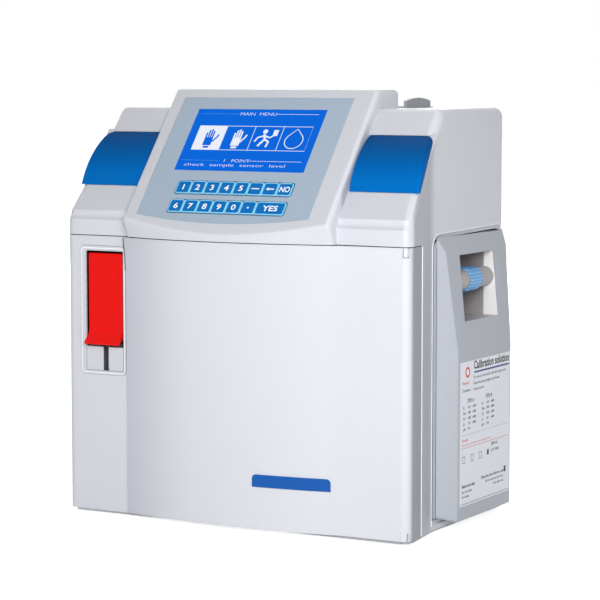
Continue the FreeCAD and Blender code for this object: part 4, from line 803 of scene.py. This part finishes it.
def dressBay():
    for name, out, back, radius, tone in bay["rods"]:
        loop = bayLoop(out)
        sweep(name, np.column_stack([sideX(loop[:, 0]) - back, loop]), radius, paint[tone], "housing")
    # Painted shade: a dark rod along the parting of the pack. Painted highlight: a pale rod down the front edge
    # of the hood's side.
    trim = bayLoop(bay["partingOut"])
    parting = np.column_stack([np.full(len(trim), bay["parting"]), trim])
    sweep("packPartingShade", parting, bay["partingRadius"], paint["gap"], "pack")
    sweep("sideEdgeHighlight", bay["sideEdgeHighlight"], bay["sideRadius"], paint["lip"], "housing", False)


# Rim: a dark line of painted shade in the gap down the left edge of the door. Its rise is height and depth.
rimShade = {
    "x": -114.9, "out": 0.15, "wide": 0.9, "bow": 0.31,
    "rise": [(232, -2.6), (245, -3.75), (255, -5.0), (263.4, -6.45)],
}


# The line is nearest the front at its top, where the door bows out most, and leans with the bow.
def dressRim():
    line = np.array([(rimShade["x"], depth - rimShade["out"], height) for height, depth in rimShade["rise"]])
    count = len(line)
    shape = np.vstack([line, line + np.array([rimShade["wide"], -rimShade["bow"] * rimShade["wide"], 0])])
    first = np.arange(count - 1)
    faces = np.stack([first, first + count, first + count + 1, first + 1], 1)
    makeMesh("doorRimShade", place(shape), faces.tolist(), paint["gap"], "door")


# An upright dark strip of painted shade along a line of x and y, between two heights.
def strip(name, line, low, high, body):
    points = np.vstack([np.column_stack([line, np.full(len(line), height)]) for height in (low, high)])
    makeMesh(name, place(points), gridFaces(2, len(line)), paint["gap"], body)


# Points of a circle of the plan, seen from above.
def planArc(x, y, radius, turn):
    return np.stack([x + radius * np.cos(turn), y + radius * np.sin(turn)], 1)


# Notch for the upper knuckle of the hinge, on the rounded right corner of the door
notch = {
    "corner": 9, "cornerX": 174.87, "out": 0.1, "wide": 0.55, "start": -76, "end": -42,
    "low": 255, "high": 263.3,
}


# A fine dark line of painted shade down one side of the notch and round its foot.
def dressNotch():
    radius, half = notch["corner"] + notch["out"], notch["wide"] / 2
    start, end = math.radians(notch["start"]), math.radians(notch["end"])
    foot = planArc(notch["cornerX"], notch["corner"], radius, np.linspace(start, end, 8))
    side = planArc(notch["cornerX"], notch["corner"], radius, start + np.array([-half, half]) / radius)
    strip("notchFootShade", foot, notch["low"] - half, notch["low"] + half, "door")
    strip("notchSideShade", side, notch["low"], notch["high"], "door")


# Painted shade in the seam under the hood
seamShade = {
    "low": 263.3, "high": 264.42, "inset": 0.35, "chinHalf": 111.5, "chinEnd": 105, "chinSide": 6.5,
    "chinMiddle": 24, "corner": 9, "cornerX": 174.87, "flankX": 181.0, "flankY": 29, "chinGap": 6,
}


# Dark strips of painted shade under the lower edge of the hood: along its flat front, its bowed chin and its
# sides.
# The chin is a circle through its two sides and its middle: radius = (half^2 + rise^2) / 2 rise.
def dressSeam():
    inset, middle, bend = seamShade["inset"], seamShade["chinMiddle"], seamShade["corner"] - seamShade["inset"]
    rise = middle - seamShade["chinSide"]
    radius = (seamShade["chinHalf"] ** 2 + rise ** 2) / (2 * rise)
    across = np.linspace(-seamShade["chinEnd"], seamShade["chinEnd"], 33)
    bow = -middle + radius - np.sqrt(radius ** 2 - across ** 2)
    right = np.vstack([
        [(seamShade["chinEnd"] + seamShade["chinGap"], inset)],
        planArc(seamShade["cornerX"], seamShade["corner"], bend, np.radians(np.linspace(-90, -8, 9))),
        [(seamShade["flankX"] - inset, seamShade["flankY"])],
    ])
    left = right[::-1] * np.array([-1, 1])
    for name, line in (("Chin", np.stack([across, bow + inset], 1)), ("Right", right), ("Left", left)):
        strip("seamShade" + name, line, seamShade["low"], seamShade["high"], "housing")


dressBay()
dressRim()
dressNotch()
dressSeam()
print("bay and seam dressed")


# Label of the reagent pack, on the upright face of its cover. Places are from the label's lower front corner.
# Texts are words, left edge, height, size, stretch, weight and finish.
label = {
    "x": 192.91, "front": 85, "low": 19.6, "textOut": 0.02,
    "prints": (
        ("packLabel", [bar(0, 109, 0, 133.7)], 0.0, "label"),
        ("packBlue", [bar(30, 107, 121.5, 123.1)], 0.015, "printBlue"),
        ("packFoot", [bar(1, 108, 1.4, 1.9)], 0.015, "printBlue"),
        ("packMark", [disc((16, 123.7), 5)], 0.015, "printRed"),
        ("packMarkInner", [disc((16, 123.7), 3)], 0.03, "label"),
        ("packRule", [bar(3, 107, 53.6, 54)], 0.015, "printRed"),
        ("packSquares", [ribbon([(left, 40), (left + 5, 40), (left + 5, 46), (left, 46)], 0.8, True)
                         for left in (6, 24, 42)], 0.05, "print"),
        ("packBlock", [bar(59, 63, 41, 46), bar(97, 101, 20, 25)], 0.015, "printDark"),
        ("packRuleGrey", [bar(3, 107, 65.6, 65.8)], 0.015, "print"),
    ),
    "texts": [
        ("Calibration solution", 29, 125.4, 7.6, 0.92, 0.03, "printDark"),
        ("For use on the bench with this instrument", 29, 116.5, 2.5, 1.2, 0.02, "print"),
        ("Keep the pack upright and closed", 29, 111, 2.5, 1.2, 0.02, "print"),
        ("when stored", 29, 105.5, 2.5, 1.2, 0.02, "print"),
        ("Reagent", 5, 113, 2.6, 1.2, 0.02, "printRed"),
        ("Contents", 5, 106, 2.6, 1.2, 0.02, "print"),
        ("STD A", 16, 95.5, 3.2, 1.1, 0.04, "printDark"),
        ("STD B", 56, 95.5, 3.2, 1.1, 0.04, "printDark"),
    ] + [
        (text, left + reach, 90 - 5.0 * index, 2.6, 1.2, 0.03, "print")
        for left in (7, 47)
        for index, row in enumerate((("K", "4.0", "mM"), ("Na", "140", "mM"), ("Cl", "100", "mM"),
                                     ("Li", "1.0", "mM"), ("pH", "7.4", "")))
        for text, reach in zip(row, (0, 10, 20)) if text
    ] + [
        ("Storage", 5, 60, 2.4, 1.2, 0.02, "printRed"),
        ("Keep away from sunlight and from heat at all times", 5, 56, 1.7, 1.3, 0.01, "printRed"),
        ("500 ml", 68, 49, 3.0, 1.2, 0.03, "printDark"),
        ("LOT 0001", 68, 43, 2.6, 1.2, 0.02, "print"),
        ("Open the door before a change", 46, 20, 2.6, 1.2, 0.03, "printDark"),
        ("Pull the pack out by its bar", 56, 15.5, 2.2, 1.2, 0.02, "print"),
        ("Rinse after use", 74, 11, 2.2, 1.2, 0.02, "print"),
        ("Batch and date", 5, 17, 2.8, 1.2, 0.04, "printDark"),
        ("See the leaflet", 5, 12, 2.3, 1.2, 0.02, "print"),
        ("for details", 5, 7.5, 2.3, 1.2, 0.02, "print"),
    ],
}

# Recess behind the bar of the pack: its limits, its back, where its rear wall turns from painted shade to
# painted light, and the bar
grip = {
    "front": 99.5, "rear": 171, "low": 190, "high": 251, "back": 151.5, "shade": 174.5, "lit": 176.5,
    "barX": 179.5, "barZ": 226.5, "barRadius": 8, "near": 0.6, "along": 0.99,
}


# The recess: painted shade on its back and roof, and its rear wall painted from shade to light toward the
# opening; its floor and the bar take tones of their own.
def paintRecessShading():
    mesh = skin["pack_cover"].data
    rearWall = paintedShadingFade(finish("rearWallShadeToLight", recessShadeColour, 0.5), recessShadeColour, linear(236, 234, 234), grip["shade"],
                        grip["lit"])
    for tone in (paint["recessShadeGrey"], rearWall, paint["ledgeGrey"], paint["barGrey"]):
        mesh.materials.append(tone)
    near, along = grip["near"], grip["along"]
    for polygon in mesh.polygons:
        x, y, z = np.array(polygon.center) * perMetre - shift
        turn = polygon.normal
        level = grip["front"] - near < y < grip["rear"] + near
        if not level or not grip["low"] - near < z < grip["high"] + near or x < grip["back"] - near:
            continue
        if (turn.x > along and x < grip["back"] + near) or (turn.z < -along and z > grip["high"] - near):
            polygon.material_index = 1
        elif turn.y < -along and y > grip["rear"] - near:
            polygon.material_index = 2
        elif turn.z > along and z < grip["low"] + near:
            polygon.material_index = 3
        elif math.hypot(x - grip["barX"], z - grip["barZ"]) < grip["barRadius"] + near:
            polygon.material_index = 4


# Points along and up the label, at a distance out of the pack's face.
def onLabel(flat, out):
    return place(np.stack([np.full(len(flat), label["x"] + out), label["front"] + flat[:, 0],
                           label["low"] + flat[:, 1]], 1))


def dressPack():
    paintRecessShading()
    for name, shapes, out, tone in label["prints"]:
        corners, faces = gather(shapes)
        makeMesh(name, onLabel(corners, out), faces, paint[tone], "pack")
    for index, (text, left, height, tall, wide, weight, tone) in enumerate(label["texts"]):
        lettering("packText%d" % index, text, (left, height), tall, paint[tone],
                  lambda flat: onLabel(flat, label["textOut"]), "pack", wide, weight, True)


dressPack()
print("pack dressed")


# Behind the door and on the rear panel: screws, coloured bands and plain lettering.
# Screw rows are depth, radius, side (-1 to the front, 1 to the rear) and places.
inside = {
    "plate": 34.0, "printOut": 0.1, "shell": 9.03, "axis": 19, "band": (172, 179), "bandSteps": 33, "name": 158,
    "electrodes": (("Na", -74, "bandBlue"), ("K", -51, "bandGreen"), ("Cl", -28, "bandAmber"),
                   ("Ref", -5, "bandGrey")),
    "texts": (("Na", -74, 129), ("K", -51, 129), ("Cl", -28, 129), ("Ref", -5, 129), ("Valve", -40, 76),
              ("Pump", 62, 40)),
    "screws": {
        "plateScrew": (34.0, 3.4, -1, ((-106, 22), (-106, 250), (140, 22), (140, 250), (16, 250))),
        "pumpScrew": (12, 2.2, -1, ((37, 53), (87, 53), (87, 103))),
        "rearScrew": (drawing["rear"], 3.2, 1, ((-158, 9), (158, 9), (-158, 355), (158, 355), (-158, 182),
                                               (158, 182), (0, 355), (0, 9))),
    },
    "profile": ((0.0, 1.0), (0.75, 1.0), (0.95, 0.75), (1.0, 0.0)), "profileSteps": 21,
    "crossReach": 0.55, "crossHalf": 0.12, "crossOut": 1.04,
    "nameSize": 5, "textSize": 4.4, "wide": 1.1, "weight": 0.02,
    "rating": "100 - 240 V   50 / 60 Hz", "ratingX": -125, "ratingZ": 66,
    "ratingSize": 3.6, "ratingWeight": 0.01,
}


# Points on the shell of an electrode: round an upright axis, turned from its front.
def wrap(centre, turn, height):
    radius = inside["shell"]
    turn, height = np.broadcast_arrays(np.asarray(turn, float), height)
    points = np.stack([centre + radius * np.sin(turn), inside["axis"] - radius * np.cos(turn), height], -1)
    return place(points.reshape(-1, 3))


# A low round head with a cross: a profile of radius and height turned about the depth axis. The cross is a flat
# dark shape of painted shade that stands for its slot.
def screw(name, x, depth, z, radius, out):
    share, rise = np.array(inside["profile"]).T[:, :, None]
    turn = np.linspace(0, 2 * math.pi, inside["profileSteps"])
    rings = share * radius
    points = np.stack([x + rings * np.cos(turn), depth + out * (rise + turn * 0), z + rings * np.sin(turn)], -1)
    faces = gridFaces(len(share), len(turn))
    makeMesh(name, place(points.reshape(-1, 3)), faces, paint["steel"], "housing")
    reach, half = radius * inside["crossReach"], radius * inside["crossHalf"]
    corners, faces = gather([bar(x - reach, x + reach, z - half, z + half),
                             bar(x - half, x + half, z - reach, z + reach)])
    makeMesh(name + "CrossShade", atDepth(corners, depth + out * inside["crossOut"]), faces, paint["gap"], "housing")


def dressInside():
    for index, (name, x, band) in enumerate(inside["electrodes"]):
        turn, height = np.meshgrid(np.linspace(-math.pi, math.pi, inside["bandSteps"]), inside["band"])
        makeMesh("electrodeBand%d" % index, wrap(x, turn, height), gridFaces(*turn.shape), paint[band],
                 "housing")
        lettering("electrodeName%d" % index, name, (x, inside["name"]), inside["nameSize"], paint["printDark"],
                  lambda flat: wrap(x, (flat[:, 0] - x) / inside["shell"], flat[:, 1]), "housing",
                  weight=inside["weight"])
    for index, (name, x, z) in enumerate(inside["texts"]):
        lettering("plateText%d" % index, name, (x, z), inside["textSize"], paint["white"],
                  lambda flat: atDepth(flat, inside["plate"] - inside["printOut"]), "housing", inside["wide"],
                  inside["weight"])
    for name, (depth, radius, out, places) in inside["screws"].items():
        for index, (x, z) in enumerate(places):
            screw(name + str(index), x, depth, z, radius, out)
    x = inside["ratingX"]
    mirror = np.array([-1, 1])  # read from behind
    lettering("rearText", inside["rating"], (x, inside["ratingZ"]), inside["ratingSize"], paint["printDark"],
              lambda flat: atDepth(flat * mirror + (2 * x, 0), drawing["rear"] + inside["printOut"]), "housing",
              inside["wide"], inside["ratingWeight"])


dressInside()
print("inside dressed")


# Studio: floor, world, lamps and camera
studio = {
    "camera": (1113.8, -1839.9, 416.4), "yaw": 29.5, "pitch": 5.5, "focalPixels": 2348.8, "pixels": 600,
    "sensor": 36, "farthest": 50, "floor": 12.0, "floorColour": (0.8, 0.8, 0.81, 1), "floorRoughness": 0.9,
    "floorGlow": 0.8, "glowFrom": 0.5, "glowTo": 1.6,
    "worldColour": (0.95, 0.97, 1.0, 1), "worldLevel": 0.2, "aim": (0, 0, 0.2),
}
lamps = {
    "key": {"at": (0.95, -1.5, 0.75), "size": 0.8, "power": 27},
    "side": {"at": (-2.2, -1.4, 1.4), "size": 1.4, "power": 5},
    "top": {"at": (-0.3, 0.9, 2.4), "size": 1.6, "power": 13.5},
    "rear": {"at": (-1.6, 2.4, 1.0), "size": 1.6, "power": 30},
}


# 1 for a ray that sees the backdrop: from the camera, off a glossy surface or through a clear one.
def backdropRays(tree):
    path = tree.nodes.new("ShaderNodeLightPath").outputs
    mirrored = calculate(tree, "MAXIMUM", path["Is Camera Ray"], path["Is Glossy Ray"])
    return calculate(tree, "MAXIMUM", mirrored, path["Is Transmission Ray"])


# A square floor that glows for the backdrop's rays, more so away from the object.
def makeFloor():
    reach = studio["floor"]
    mesh = bpy.data.meshes.new("floor")
    mesh.from_pydata([(-reach, -reach, 0), (reach, -reach, 0), (reach, reach, 0), (-reach, reach, 0)], [],
                     [(0, 1, 2, 3)])
    floor = bpy.data.objects.new("floor", mesh)
    bpy.context.scene.collection.objects.link(floor)
    material = bpy.data.materials.new("floorWhite")
    material.use_nodes = True
    tree = material.node_tree
    shader = tree.nodes["Principled BSDF"]
    for name, value in (("Base Color", studio["floorColour"]), ("Roughness", studio["floorRoughness"]),
                        ("Specular IOR Level", 0.0)):
        shader.inputs[name].default_value = value
    away = tree.nodes.new("ShaderNodeVectorMath")
    away.operation = "LENGTH"
    feed(tree, tree.nodes.new("ShaderNodeTexCoord").outputs["Object"], away.inputs[0])
    rise = mapSpan(tree, away.outputs["Value"], studio["glowFrom"], studio["glowTo"], studio["floorGlow"], 1.0)
    glow = tree.nodes.new("ShaderNodeEmission")
    feed(tree, calculate(tree, "MULTIPLY", backdropRays(tree), rise), glow.inputs["Strength"])
    both = tree.nodes.new("ShaderNodeAddShader")
    feed(tree, shader.outputs[0], both.inputs[0])
    feed(tree, glow.outputs[0], both.inputs[1])
    feed(tree, both.outputs[0], tree.nodes["Material Output"].inputs["Surface"])
    mesh.materials.append(material)


# A pale world: a low even level on the object, white for the backdrop's rays.
def makeWorld():
    world = bpy.data.worlds.new("studioWorld")
    bpy.context.scene.world = world
    world.use_nodes = True
    tree = world.node_tree
    mix = tree.nodes.new("ShaderNodeMixShader")
    seen = tree.nodes.new("ShaderNodeBackground")
    feed(tree, backdropRays(tree), mix.inputs[0])
    low = tree.nodes["Background"]
    for index, (back, colour, level) in enumerate(((low, studio["worldColour"], studio["worldLevel"]),
                                                   (seen, (1, 1, 1, 1), 1.0))):
        back.inputs["Color"].default_value = colour
        back.inputs["Strength"].default_value = level
        feed(tree, back.outputs[0], mix.inputs[index + 1])
    feed(tree, mix.outputs[0], tree.nodes["World Output"].inputs["Surface"])


def makeLamps():
    for name, values in lamps.items():
        lamp = bpy.data.lights.new(name, "AREA")
        lamp.size = values["size"]
        lamp.energy = values["power"]
        thing = bpy.data.objects.new(name, lamp)
        bpy.context.scene.collection.objects.link(thing)
        thing.location = values["at"]
        aim = Vector(studio["aim"]) - Vector(values["at"])
        thing.rotation_euler = aim.to_track_quat("-Z", "Y").to_euler()


def makeCamera():
    camera = bpy.data.cameras.new("photoCamera")
    camera.sensor_fit = "HORIZONTAL"
    camera.sensor_width = studio["sensor"]
    camera.lens = studio["focalPixels"] * studio["sensor"] / studio["pixels"]
    camera.clip_end = studio["farthest"]
    thing = bpy.data.objects.new("photoCamera", camera)
    bpy.context.scene.collection.objects.link(thing)
    thing.location = place(studio["camera"])
    thing.rotation_euler = (math.radians(90 - studio["pitch"]), 0, math.radians(studio["yaw"]))
    bpy.context.scene.camera = thing


makeFloor()
makeWorld()
makeLamps()
makeCamera()
bpy.context.scene.view_settings.view_transform = "Standard"
print("studio made")
